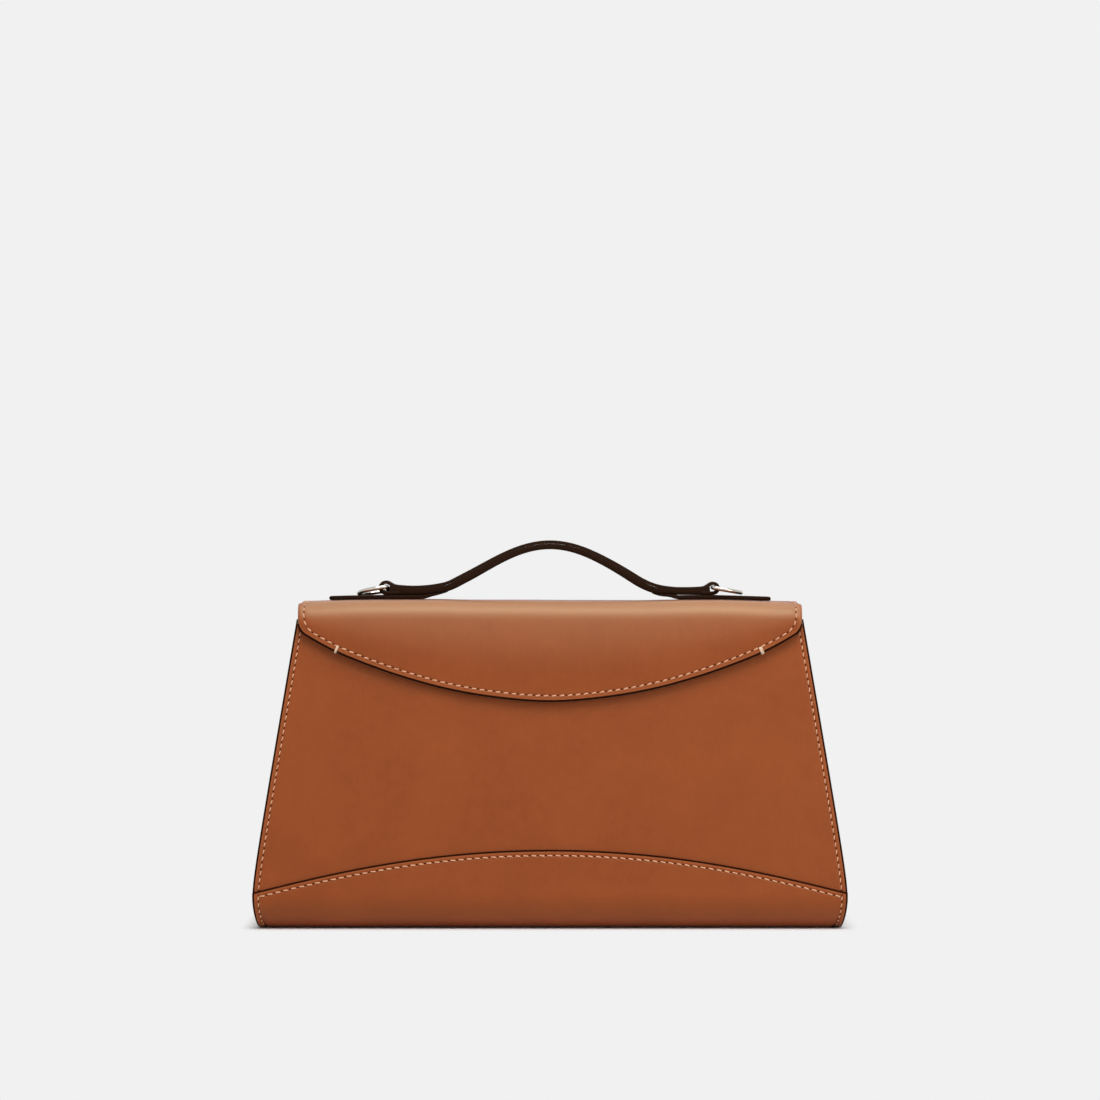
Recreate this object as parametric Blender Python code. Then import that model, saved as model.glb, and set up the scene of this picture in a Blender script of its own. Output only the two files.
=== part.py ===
"""Structured leather clutch bag with a top handle, a curved flap and two D rings.

Frame: metres, +Z up, the front faces -Y, and the origin is the middle of the base, where the bag stands.
The walls are built in layers. "Depth" is how far a layer lies in from the outside of the base panel. "Run" is
the distance along a profile: from the middle of the base up a wall, or from the hinge forward over the flap.
"""

import math

import bmesh
import bpy
from mathutils import Vector
from mathutils.geometry import interpolate_bezier

MM = 0.001

# Overall shape of the body
BODY_HEIGHT = 157.3 * MM
BODY_WIDTH = 284.8 * MM
WIDEST_HEIGHT = 16 * MM
BASE_DRAW_IN = 2.2 * MM
SIDE_TAPER = 0.165
SIDE_EASE = 10.8 * MM
BASE_DEPTH = 84 * MM
TOP_DEPTH = 46 * MM
BASE_BEND = 15 * MM

# Leather, board and lining thicknesses, and the room left between glued layers
BASE_LEATHER = 1.5 * MM
PANEL_LEATHER = 1.6 * MM
GUSSET_LEATHER = 1.4 * MM
FLAP_LEATHER = 1.5 * MM
BOARD = 1.2 * MM
LINING = 0.9 * MM
GLUE_GAP = 0.2 * MM
BASE_BOARD_GAP = 1 * MM
SIDE_LINING_GAP = 0.6 * MM

# Base panel, with the same arched edge at the front and the back
ARCH_HEIGHT = 38 * MM
ARCH_RADIUS = 465 * MM

# Gussets: a folded-in wall with a flange turned out along its seam
FLANGE_WIDTH = 6.5 * MM
FOLD_DEPTH = 10 * MM
FOLD_START = 50 * MM
GUSSET_BELOW_FRONT = 2.5 * MM

# Flap and its hinge at the top of the back
FLAP_WIDTH = 243.2 * MM
FLAP_DROP = 48.9 * MM
FLAP_EDGE_RADIUS = 226 * MM
FLAP_CORNER_RADIUS = 7 * MM
FLAP_BEND = 10 * MM
FLAP_CLEARANCE = 0.4 * MM
TAIL_LENGTH = 28 * MM
TAIL_BEND = 4 * MM
HINGE_GAP = 0.4 * MM
TOP_CLEARANCE = 1 * MM

# Boards, magnets and the inner pocket
BOARD_MARGIN = 4 * MM
FLAP_BOARD_MARGIN = 6 * MM
MAGNET_RADIUS = 7 * MM
MAGNET_SPACING = 90 * MM
MAGNET_ABOVE_EDGE = 15 * MM
MAGNET_HOLE_CLEARANCE = 0.3 * MM
POCKET_WIDTH = 150 * MM
POCKET_BELOW_MOUTH = 28.3 * MM
POCKET_DROP = 84 * MM
POCKET_CORNER = 12 * MM

# Handle: two plies over a core, the upper one turned round each ring's bar
STRAP_WIDTH = 15 * MM
UPPER_PLY = 1.6 * MM
CORE_PLY = 0.8 * MM
LOWER_PLY = 1.4 * MM
ARCH_RISE = 22.2 * MM
ARCH_HALF_SPAN = 64 * MM
LOOP_X = 79.2 * MM
LOOP_RADIUS = 3.45 * MM
LOOP_RAMP = 5.5 * MM
LOOP_RAMP_TURN = math.radians(60)
TAB_THICKNESS = 2 * MM
TAB_WIDTH = 16 * MM
TAB_INNER_X = 61 * MM
TAB_OUTER_X = 107 * MM
TAB_CORNER = 5 * MM

# D rings
RING_WIRE_RADIUS = 1 * MM
RING_HALF_WIDTH = 9.2 * MM
RING_REACH = 14.2 * MM
RING_CORNER = 2 * MM

# How finely the curves are drawn
BEND_STEPS = 8
FLAP_BEND_STEPS = 6
WALL_STEPS = 8
EDGE_STEPS = 16
CORNER_STEPS = 4
LOOP_STEPS = 12
SLIVER = 0.4 * MM

# Depths of the layers
PANEL_DEPTH = BASE_LEATHER + GLUE_GAP
FLANGE_DEPTH = PANEL_DEPTH + PANEL_LEATHER + GLUE_GAP
LINING_DEPTH = FLANGE_DEPTH + max(GUSSET_LEATHER, BOARD) + GLUE_GAP
POCKET_DEPTH = LINING_DEPTH + LINING + GLUE_GAP
SIDE_LINING_DEPTH = LINING_DEPTH + LINING + SIDE_LINING_GAP
FLAP_BOARD_DEPTH = FLAP_LEATHER + GLUE_GAP
FLAP_LINING_DEPTH = FLAP_BOARD_DEPTH + BOARD + GLUE_GAP
FLAP_THICKNESS = FLAP_LINING_DEPTH + LINING
FLAP_STANDS_OUT = FLAP_THICKNESS + FLAP_CLEARANCE - PANEL_DEPTH

# The wall leans in so that it just touches the base bend and meets the top at half the top depth
BEND_CENTRE_Y = BASE_DEPTH / 2 - BASE_BEND
TOP_FROM_CENTRE = Vector((TOP_DEPTH / 2 - BEND_CENTRE_Y, BODY_HEIGHT - BASE_BEND))
LEAN = math.atan2(TOP_FROM_CENTRE.y, TOP_FROM_CENTRE.x) - math.acos(BASE_BEND / TOP_FROM_CENTRE.length)
BEND_RUN = BASE_BEND * (math.pi / 2 + LEAN)
WALL_RUN = BEND_CENTRE_Y + BEND_RUN
WALL_FOOT = BASE_BEND * (1 + math.sin(LEAN))

# Heights where the layers of the walls, the pocket and the flap end
FRONT_TOP = BODY_HEIGHT - FLAP_BEND + (FLAP_BEND - FLAP_THICKNESS) * math.sin(LEAN)
BACK_TOP = BODY_HEIGHT - FLAP_THICKNESS - TOP_CLEARANCE
GUSSET_TOP = FRONT_TOP - GUSSET_BELOW_FRONT
POCKET_TOP = BACK_TOP - POCKET_BELOW_MOUTH
FLAP_LOW = BODY_HEIGHT - FLAP_DROP

HINGE = Vector((0, TOP_DEPTH / 2, BODY_HEIGHT))
SIDES = {"left": -1, "right": 1}


def half_width(z):
    """Half the body's width at a height: sides that taper upwards, and draw in under the base."""
    above = z - WIDEST_HEIGHT
    if above < 0:
        return BODY_WIDTH / 2 - BASE_DRAW_IN * (above / WIDEST_HEIGHT) ** 2
    return BODY_WIDTH / 2 - SIDE_TAPER * above**2 / (above + SIDE_EASE)


def wall_point(run, depth):
    """(y, z) on the body's profile. A negative run goes up the front wall, a positive one up the back."""
    side = math.copysign(1, run)
    along = abs(run)
    turned = min(max(along - BEND_CENTRE_Y, 0) / BASE_BEND, math.pi / 2 + LEAN)
    out, up = math.sin(turned), -math.cos(turned)
    climbed = max(along - WALL_RUN, 0)
    y = min(along, BEND_CENTRE_Y) + (BASE_BEND - depth) * out - climbed * math.sin(LEAN)
    z = BASE_BEND + (BASE_BEND - depth) * up + climbed * math.cos(LEAN)
    return side * y, z


def run_to(z, depth=0.0):
    """Run at which the straight part of a wall reaches a height, for a layer at that depth."""
    return WALL_RUN + (z - WALL_FOOT + depth * math.sin(LEAN)) / math.cos(LEAN)


def bend_runs():
    """Runs of the base bend's facets, shared by every layer so that their facets stay parallel."""
    return [BEND_CENTRE_Y + BEND_RUN * step / BEND_STEPS for step in range(BEND_STEPS + 1)]


def wall_runs(top_run):
    """Runs up the straight part of a wall, above the bend."""
    return [WALL_RUN + (top_run - WALL_RUN) * step / WALL_STEPS for step in range(1, WALL_STEPS + 1)]


def web_x(y, z, half_depth):
    """Inner face of a gusset's wall: straight near the base, folded inwards towards the top."""
    rise = min(max((z - FOLD_START) / (GUSSET_TOP - FOLD_START), 0), 1)
    across = math.cos(math.pi / 2 * min(abs(y) / half_depth, 1)) ** 2
    return half_width(z) - FLANGE_WIDTH - FOLD_DEPTH * rise**2 * across


def inside_half_width(run, depth):
    """Room between the gussets for a layer whose inner face is at this depth."""
    y, z = wall_point(run, depth)
    seam_y = abs(wall_point(run, FLANGE_DEPTH)[0])
    return web_x(y, z, seam_y) - GLUE_GAP


def finish_material(name, colour, roughness, metallic=0.0):
    """A Principled BSDF with one part's colour."""
    material = bpy.data.materials.new(name)
    material.use_nodes = True
    shader = material.node_tree.nodes["Principled BSDF"]
    shader.inputs["Base Color"].default_value = (*colour, 1)
    shader.inputs["Roughness"].default_value = roughness
    shader.inputs["Metallic"].default_value = metallic
    return material


def add_object(name, bm, material, parent=None):
    """Puts a bmesh into the scene as one named part."""
    mesh = bpy.data.meshes.new(name)
    bm.to_mesh(mesh)
    bm.free()
    part = bpy.data.objects.new(name, mesh)
    part.data.materials.append(material)
    bpy.context.scene.collection.objects.link(part)
    if parent is not None:
        part.parent = parent
        part.matrix_parent_inverse = parent.matrix_world.inverted()
    return part


def thicken(part, thickness):
    """Gives an open surface its thickness, away from the side that its faces look to."""
    solidify = part.modifiers.new("thickness", "SOLIDIFY")
    solidify.thickness = thickness
    solidify.offset = -1
    solidify.use_even_offset = True
    solidify.use_quality_normals = True


def sheet(name, rows, thickness, material, parent=None):
    """Sheet goods from rows of points on the outer face. Rows run front to back, points left to right."""
    bm = bmesh.new()
    grid = [[bm.verts.new(point) for point in row] for row in rows]
    for row, below in zip(grid, grid[1:]):
        for corner in range(len(row) - 1):
            bm.faces.new((row[corner], below[corner], below[corner + 1], row[corner + 1]))
    part = add_object(name, bm, material, parent)
    thicken(part, thickness)
    return part


def wall_sheet(name, runs, depth, thickness, material, width):
    """A sheet on the body's profile that is as wide, at each run, as width says."""
    rows = []
    for run in runs:
        y, z = wall_point(run, depth)
        half = width(run)
        rows.append([(-half, y, z), (half, y, z)])
    return sheet(name, rows, thickness, material)


def outline_solid(name, outline, low, high, axis, material, parent=None):
    """A closed outline extruded along Y or Z, from low to high."""
    bm = bmesh.new()
    if axis == "Y":
        corners = [(first, low, second) for first, second in outline]
        travel = Vector((0, high - low, 0))
    else:
        corners = [(first, second, low) for first, second in outline]
        travel = Vector((0, 0, high - low))
    face = bm.faces.new([bm.verts.new(corner) for corner in corners])
    extruded = bmesh.ops.extrude_face_region(bm, geom=[face], use_keep_orig=True)
    moved = [item for item in extruded["geom"] if isinstance(item, bmesh.types.BMVert)]
    bmesh.ops.translate(bm, vec=travel, verts=moved)
    bmesh.ops.recalc_face_normals(bm, faces=bm.faces)
    return add_object(name, bm, material, parent)


def disc(name, centre, direction, radius, thickness, material, parent=None):
    """A round disc whose outer face is centred on a point, and which goes in from there."""
    bm = bmesh.new()
    bmesh.ops.create_cone(bm, cap_ends=True, segments=24, radius1=radius, radius2=radius, depth=thickness)
    turn = direction.to_track_quat("Z", "Y").to_matrix()
    bmesh.ops.rotate(bm, cent=(0, 0, 0), matrix=turn, verts=bm.verts)
    bmesh.ops.translate(bm, vec=centre - direction * thickness / 2, verts=bm.verts)
    return add_object(name, bm, material, parent)


def cut_holes(part, centres, direction, radius, length):
    """Cuts round holes through a board at the given centres."""
    bm = bmesh.new()
    for centre in centres:
        made = bmesh.ops.create_cone(
            bm, cap_ends=True, segments=24, radius1=radius, radius2=radius, depth=length
        )
        turn = direction.to_track_quat("Z", "Y").to_matrix()
        bmesh.ops.rotate(bm, cent=(0, 0, 0), matrix=turn, verts=made["verts"])
        bmesh.ops.translate(bm, vec=centre, verts=made["verts"])
    cutter = add_object(part.name + "_cutter", bm, part.data.materials[0])
    cutter.hide_render = True
    cutter.display_type = "WIRE"
    boolean = part.modifiers.new("magnet_holes", "BOOLEAN")
    boolean.operation = "DIFFERENCE"
    boolean.object = cutter


def panel_half_width(depth):
    """The full width of the body, for a layer at that depth."""
    return lambda run: half_width(wall_point(run, depth)[1])


def build_walls(leather, board, lining):
    """The front and back panels, the base board that joins them, their stiffening boards and the lining."""
    bends = bend_runs()
    upper_bends = bends[BEND_STEPS // 2 :]
    under_base = bends[BEND_STEPS // 2] - BASE_BOARD_GAP
    panel_width = panel_half_width(PANEL_DEPTH)
    for name, side, top in (("front", -1, FRONT_TOP), ("back", 1, BACK_TOP)):
        runs = upper_bends + wall_runs(run_to(top, PANEL_DEPTH))
        runs = sorted(side * run for run in runs)
        wall_sheet(name + "_panel", runs, PANEL_DEPTH, PANEL_LEATHER, leather, panel_width)
        board_runs = wall_runs(run_to(top - BOARD_MARGIN, FLANGE_DEPTH))
        board_runs = sorted(side * run for run in board_runs)
        wall_sheet(
            name + "_board", board_runs, FLANGE_DEPTH, BOARD, board,
            lambda run: inside_half_width(run, FLANGE_DEPTH + BOARD),
        )
    base_runs = [run for run in bends if run < under_base] + [under_base]
    base_runs = [-run for run in reversed(base_runs)] + base_runs
    wall_sheet("base_board", base_runs, PANEL_DEPTH, PANEL_LEATHER, board, panel_width)
    front_runs = bends + wall_runs(run_to(FRONT_TOP, LINING_DEPTH))
    back_runs = bends + wall_runs(run_to(BACK_TOP, LINING_DEPTH))
    lining_runs = [-run for run in reversed(front_runs)] + back_runs
    wall_sheet(
        "body_lining", lining_runs, LINING_DEPTH, LINING, lining,
        lambda run: inside_half_width(run, LINING_DEPTH + LINING),
    )


def arch_z(x):
    """Height of the base panel's arched edge."""
    return ARCH_HEIGHT - ARCH_RADIUS + math.sqrt(ARCH_RADIUS**2 - x**2)


def build_base_panel(leather):
    """The leather that wraps under the base and ends in an arch on the front and on the back."""
    columns = [2 * step / EDGE_STEPS - 1 for step in range(EDGE_STEPS + 1)]
    half_rows = []
    for level in range(BEND_STEPS + 2):
        row = []
        for share in columns:
            edge_run = run_at_height(arch_z(share * BODY_WIDTH / 2))
            rows_above = BEND_STEPS + 1 - level
            wanted = edge_run if rows_above == 0 else bend_runs()[level]
            run = min(wanted, edge_run - rows_above * SLIVER)
            y, z = wall_point(run, 0)
            row.append((share * half_width(z), y, z))
        half_rows.append(row)
    front_rows = [[(x, -y, z) for x, y, z in row] for row in reversed(half_rows)]
    sheet("base_panel", front_rows + half_rows, BASE_LEATHER, leather)


def run_at_height(z):
    """Run at which the outside of a wall reaches a height, also inside the base bend."""
    if z >= WALL_FOOT:
        return run_to(z)
    return BEND_CENTRE_Y + BASE_BEND * math.acos(1 - z / BASE_BEND)


def build_gusset(name, side, leather, lining):
    """A side wall: its web folds inwards at the top, and its flange turns out under the panels' edges."""
    columns = [2 * step / EDGE_STEPS - 1 for step in range(EDGE_STEPS + 1)]
    runs = bend_runs() + wall_runs(run_to(GUSSET_TOP, FLANGE_DEPTH))
    bm = bmesh.new()
    web = []
    flange_front = []
    flange_back = []
    for run in runs:
        seam_y, z = wall_point(run, FLANGE_DEPTH)
        points = [(side * web_x(seam_y * share, z, seam_y), seam_y * share, z) for share in columns]
        web.append([bm.verts.new(point) for point in points])
        edge = side * half_width(z)
        flange_front.append(bm.verts.new((edge, -seam_y, z)))
        flange_back.append(bm.verts.new((edge, seam_y, z)))
    base_edge = [
        bm.verts.new((flange_front[0].co.x, vertex.co.y, vertex.co.z)) for vertex in web[0][1:-1]
    ]
    for row, above in zip(web, web[1:]):
        for corner in range(EDGE_STEPS):
            bm.faces.new((row[corner], above[corner], above[corner + 1], row[corner + 1]))
    seam = [row[0] for row in reversed(web)] + web[0][1:-1] + [row[-1] for row in web]
    edge = list(reversed(flange_front)) + base_edge + flange_back
    for step in range(len(seam) - 1):
        bm.faces.new((seam[step], seam[step + 1], edge[step + 1], edge[step]))
    if side < 0:
        bmesh.ops.reverse_faces(bm, faces=bm.faces)
    gusset = add_object("gusset_" + name, bm, leather)
    thicken(gusset, GUSSET_LEATHER)

    rows = []
    for run in runs:
        seam_y = wall_point(run, FLANGE_DEPTH)[0]
        reach_y, z = wall_point(run, SIDE_LINING_DEPTH)
        row = []
        for share in columns:
            x = web_x(reach_y * share, z, seam_y) - SIDE_LINING_GAP
            row.append((side * x, reach_y * share, z))
        rows.append(row[::-1] if side > 0 else row)
    sheet("gusset_lining_" + name, rows, LINING, lining)


def build_pocket(leather):
    """A flat slip pocket on the back wall, open at its top edge, with rounded lower corners."""
    rows = []
    low = POCKET_TOP - POCKET_DROP
    turns = [math.pi / 2 * step / CORNER_STEPS for step in range(CORNER_STEPS + 1)]
    corner_heights = [low + POCKET_CORNER * (1 - math.cos(turn)) for turn in turns]
    for height in corner_heights + [POCKET_TOP]:
        up = min(height - low, POCKET_CORNER)
        drawn_in = POCKET_CORNER - math.sqrt(POCKET_CORNER**2 - (POCKET_CORNER - up) ** 2)
        half = POCKET_WIDTH / 2 - drawn_in
        y, z = wall_point(run_to(height, POCKET_DEPTH), POCKET_DEPTH)
        rows.append([(-half, y, z), (half, y, z)])
    sheet("slip_pocket", rows, LINING, leather)


# The flap's profile, from its rear end at the hinge, over the front bend and down the front wall
FLAP_REAR_Y = HINGE.y - TAIL_BEND - HINGE_GAP
FLAP_FACE_Y = HINGE.y + FLAP_STANDS_OUT / math.cos(LEAN)
FLAP_BEND_BACK = FLAP_BEND * (1 - math.sin(LEAN)) / math.cos(LEAN)
FLAP_BEND_CENTRE = Vector((FLAP_BEND_BACK - FLAP_FACE_Y, BODY_HEIGHT - FLAP_BEND))
FLAP_FLAT_RUN = FLAP_REAR_Y - FLAP_BEND_CENTRE.x
FLAP_BEND_RUN = FLAP_BEND * (math.pi / 2 - LEAN)
FLAP_FRONT_RUN = FLAP_FLAT_RUN + FLAP_BEND_RUN
FLAP_BEND_FOOT = BODY_HEIGHT - FLAP_BEND * (1 - math.sin(LEAN))


def flap_point(run, depth):
    """(y, z) on the flap's profile, at a depth in from its outer face."""
    turned = min(max(run - FLAP_FLAT_RUN, 0) / FLAP_BEND, math.pi / 2 - LEAN)
    out, up = math.sin(turned), math.cos(turned)
    dropped = max(run - FLAP_FRONT_RUN, 0)
    y = FLAP_REAR_Y - min(run, FLAP_FLAT_RUN) - (FLAP_BEND - depth) * out - dropped * math.sin(LEAN)
    z = FLAP_BEND_CENTRE.y + (FLAP_BEND - depth) * up - dropped * math.cos(LEAN)
    return y, z


def flap_outline():
    """(x, height) points of the flap's lower edge: a wide arc with a small corner at each side."""
    corner_x = FLAP_WIDTH / 2 - FLAP_CORNER_RADIUS
    edge_centre_z = FLAP_LOW + FLAP_EDGE_RADIUS
    corner_z = edge_centre_z - math.sqrt((FLAP_EDGE_RADIUS - FLAP_CORNER_RADIUS) ** 2 - corner_x**2)
    swing = math.asin(corner_x / (FLAP_EDGE_RADIUS - FLAP_CORNER_RADIUS))
    points = []
    for step in range(EDGE_STEPS + 1):
        angle = swing * (2 * step / EDGE_STEPS - 1)
        across = FLAP_EDGE_RADIUS * math.sin(angle)
        points.append((across, edge_centre_z - FLAP_EDGE_RADIUS * math.cos(angle)))
    corner = []
    for step in range(1, CORNER_STEPS + 1):
        angle = swing + (math.pi / 2 - swing) * step / CORNER_STEPS
        across = FLAP_CORNER_RADIUS * math.sin(angle)
        corner.append((corner_x + across, corner_z - FLAP_CORNER_RADIUS * math.cos(angle)))
    return [(-x, z) for x, z in reversed(corner)] + points + corner


def flap_rows(depth):
    """Rows of points over a layer of the flap."""
    outline = flap_outline()
    bend = [FLAP_FLAT_RUN + FLAP_BEND_RUN * step / FLAP_BEND_STEPS for step in range(FLAP_BEND_STEPS + 1)]
    rows = []
    for run in [0.0] + bend:
        rows.append([(x, *flap_point(run, depth)) for x, _ in outline])
    lower_edge = []
    for x, height in outline:
        run = FLAP_FRONT_RUN + max((FLAP_BEND_FOOT - height) / math.cos(LEAN), SLIVER)
        lower_edge.append((x, *flap_point(run, depth)))
    rows.append(lower_edge)
    return rows


def edge_height(x):
    """Height of the flap's lower edge on its wide arc."""
    return FLAP_LOW + FLAP_EDGE_RADIUS - math.sqrt(FLAP_EDGE_RADIUS**2 - x**2)


def build_flap(leather, board, lining, magnet, hinge):
    """The flap's leather, lining and boards, and the two magnets that hold it shut."""
    sheet("flap_outer", flap_rows(0), FLAP_LEATHER, leather, hinge)
    sheet("flap_lining", flap_rows(FLAP_LINING_DEPTH), LINING, lining, hinge)

    rows = []
    half = FLAP_WIDTH / 2 - FLAP_BOARD_MARGIN
    for run in (BOARD_MARGIN, FLAP_FLAT_RUN - BOARD_MARGIN / 2):
        y, z = flap_point(run, FLAP_BOARD_DEPTH)
        rows.append([(-half, y, z), (half, y, z)])
    sheet("flap_top_board", rows, BOARD, board, hinge)

    board_side = half - FLAP_CORNER_RADIUS
    columns = [board_side * (2 * step / EDGE_STEPS - 1) for step in range(EDGE_STEPS + 1)]
    top_run = FLAP_FRONT_RUN + SLIVER
    upper = [(x, *flap_point(top_run, FLAP_BOARD_DEPTH)) for x in columns]
    lower = []
    for x in columns:
        drop = (FLAP_BEND_FOOT - edge_height(x)) / math.cos(LEAN) - FLAP_BOARD_MARGIN
        lower.append((x, *flap_point(max(FLAP_FRONT_RUN + drop, top_run + SLIVER), FLAP_BOARD_DEPTH)))
    front_board = sheet("flap_front_board", [upper, lower], BOARD, board, hinge)

    outward = Vector((0, -math.cos(LEAN), math.sin(LEAN)))
    magnet_x = MAGNET_SPACING / 2
    magnet_height = edge_height(magnet_x) + MAGNET_ABOVE_EDGE
    flap_run = FLAP_FRONT_RUN + (FLAP_BEND_FOOT - magnet_height) / math.cos(LEAN)
    wall_run = -run_to(magnet_height)
    flap_centres = []
    wall_centres = []
    for name, side in SIDES.items():
        flap_centre = Vector((side * magnet_x, *flap_point(flap_run, FLAP_BOARD_DEPTH)))
        wall_centre = Vector((side * magnet_x, *wall_point(wall_run, FLANGE_DEPTH)))
        disc("flap_magnet_" + name, flap_centre, outward, MAGNET_RADIUS, BOARD, magnet, hinge)
        disc("body_magnet_" + name, wall_centre, outward, MAGNET_RADIUS, BOARD, magnet)
        flap_centres.append(flap_centre - outward * BOARD / 2)
        wall_centres.append(wall_centre - outward * BOARD / 2)
    hole = MAGNET_RADIUS + MAGNET_HOLE_CLEARANCE
    cut_holes(front_board, flap_centres, outward, hole, 4 * BOARD)
    cut_holes(bpy.data.objects["front_board"], wall_centres, outward, hole, 4 * BOARD)


def build_flap_tail(leather):
    """The rear of the flap's leather, sewn flat to the back and turned forward to the hinge line."""
    centre_z = BODY_HEIGHT - TAIL_BEND
    foot_z = centre_z + TAIL_BEND * math.sin(LEAN)
    centre_y = HINGE.y - TAIL_BEND * (1 - math.sin(LEAN)) / math.cos(LEAN)
    profile = []
    for step in range(BEND_STEPS + 1):
        angle = math.pi / 2 - (math.pi / 2 - LEAN) * step / BEND_STEPS
        profile.append((centre_y + TAIL_BEND * math.cos(angle), centre_z + TAIL_BEND * math.sin(angle)))
    for step in range(1, 3):
        run = run_to(foot_z) - TAIL_LENGTH * step / 2
        profile.append(wall_point(run, 0))
    half = FLAP_WIDTH / 2
    rows = [[(-half, y, z), (half, y, z)] for y, z in reversed(profile)]
    sheet("flap_tail", rows, FLAP_LEATHER, leather)


# Heights above the flap at which the handle's layers start
TAB_SEAT = GLUE_GAP
STRAP_SEAT = TAB_SEAT + TAB_THICKNESS + GLUE_GAP
CORE_SEAT = LOWER_PLY + GLUE_GAP
UPPER_SEAT = CORE_SEAT + CORE_PLY + GLUE_GAP
LOOP_HEIGHT = STRAP_SEAT + LOOP_RADIUS
LAP_X = LOOP_X - LOOP_RAMP - GLUE_GAP


def handle_point(x, above):
    """(x, z) at a height above the underside of the strap, measured square to its arch."""
    phase = math.pi * min(abs(x) / ARCH_HALF_SPAN, 1)
    rise = ARCH_RISE * (1 + math.cos(phase)) / 2
    slope = -math.copysign(1, x) * ARCH_RISE * math.pi / ARCH_HALF_SPAN * math.sin(phase) / 2
    length = math.hypot(1, slope)
    z = BODY_HEIGHT + STRAP_SEAT + rise + above / length
    return x - above * slope / length, z


def arch_samples(limit):
    """Places along the strap, closer together where it is arched."""
    steps = 2 * EDGE_STEPS
    arched = [ARCH_HALF_SPAN * (2 * step / steps - 1) for step in range(steps + 1)]
    return [-limit] + arched + [limit]


def ribbon(centre, thickness):
    """Closed outline of a ply that follows a centre line."""
    upper = []
    lower = []
    for index, point in enumerate(centre):
        before = centre[max(index - 1, 0)]
        after = centre[min(index + 1, len(centre) - 1)]
        along = (after - before).normalized()
        across = Vector((-along.y, along.x)) * thickness / 2
        upper.append(point + across)
        lower.append(point - across)
    return upper + lower[::-1]


def loop_path():
    """Centre line of the upper ply's right end: off the flat, round the ring's bar and back under."""
    turn_radius = LOOP_RADIUS - UPPER_PLY / 2
    centre = Vector((LOOP_X, BODY_HEIGHT + LOOP_HEIGHT))
    start = Vector((LAP_X, BODY_HEIGHT + STRAP_SEAT + UPPER_SEAT + UPPER_PLY / 2))
    angle = math.pi - LOOP_RAMP_TURN
    meet = centre + turn_radius * Vector((math.cos(angle), math.sin(angle)))
    into = Vector((math.sin(angle), -math.cos(angle)))
    reach = (meet.x - start.x) / 2
    handles = (start + Vector((reach, 0)), meet - into * reach)
    points = [Vector(p[:2]) for p in interpolate_bezier(start, handles[0], handles[1], meet, 5)]
    for step in range(1, LOOP_STEPS + 1):
        turned = angle - (angle + math.pi / 2) * step / LOOP_STEPS
        points.append(centre + turn_radius * Vector((math.cos(turned), math.sin(turned))))
    points.append(Vector((LAP_X + GLUE_GAP, points[-1].y)))
    return points


def build_handle(leather, core, hinge):
    """The strap's plies and the tabs under its ends."""
    half = STRAP_WIDTH / 2
    right = loop_path()
    left = [Vector((-point.x, point.y)) for point in reversed(right)]
    arch = [Vector(handle_point(x, UPPER_SEAT + UPPER_PLY / 2)) for x in arch_samples(LAP_X)[1:-1]]
    upper_ply = ribbon(left + arch + right, UPPER_PLY)
    strap = outline_solid("handle_strap", upper_ply, -half, half, "Y", leather, hinge)
    plies = [strap]
    for name, seat, thickness, material in (
        ("handle_core", CORE_SEAT, CORE_PLY, core),
        ("handle_lining", 0.0, LOWER_PLY, leather),
    ):
        upper = [handle_point(x, seat + thickness) for x in arch_samples(LAP_X)]
        lower = [handle_point(x, seat) for x in arch_samples(LAP_X)]
        plies.append(outline_solid(name, upper + lower[::-1], -half, half, "Y", material, hinge))
    for ply in plies:
        ply.data.shade_smooth()
        ply.data.set_sharp_from_angle(angle=math.radians(40))
    for name, side in SIDES.items():
        outline = []
        for step in range(-CORNER_STEPS, CORNER_STEPS + 1):
            angle = math.pi / 2 * step / CORNER_STEPS
            x = TAB_OUTER_X - TAB_CORNER * (1 - math.cos(angle))
            straight = TAB_WIDTH / 2 - TAB_CORNER
            ends = (-straight, straight) if step == 0 else (math.copysign(straight, step),)
            outline += [(side * x, end + TAB_CORNER * math.sin(angle)) for end in ends]
        outline += [(side * TAB_INNER_X, TAB_WIDTH / 2), (side * TAB_INNER_X, -TAB_WIDTH / 2)]
        low = BODY_HEIGHT + TAB_SEAT
        outline_solid("handle_tab_" + name, outline, low, low + TAB_THICKNESS, "Z", leather, hinge)


def ring_line():
    """Centre line of a D ring in its own plane: a bar at x = 0 and a bow that reaches out along x."""
    corner_y = RING_HALF_WIDTH - RING_CORNER
    bow_x = RING_REACH - RING_HALF_WIDTH
    half = []
    for step in range(CORNER_STEPS + 1):
        angle = math.pi / 2 * step / CORNER_STEPS
        half.append((RING_CORNER * (1 - math.cos(angle)), corner_y + RING_CORNER * math.sin(angle)))
    for step in range(EDGE_STEPS // 2):
        angle = math.pi / 2 * step / (EDGE_STEPS // 2)
        half.append((bow_x + RING_HALF_WIDTH * math.sin(angle), RING_HALF_WIDTH * math.cos(angle)))
    return half + [(RING_REACH, 0.0)] + [(x, -y) for x, y in reversed(half)]


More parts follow.
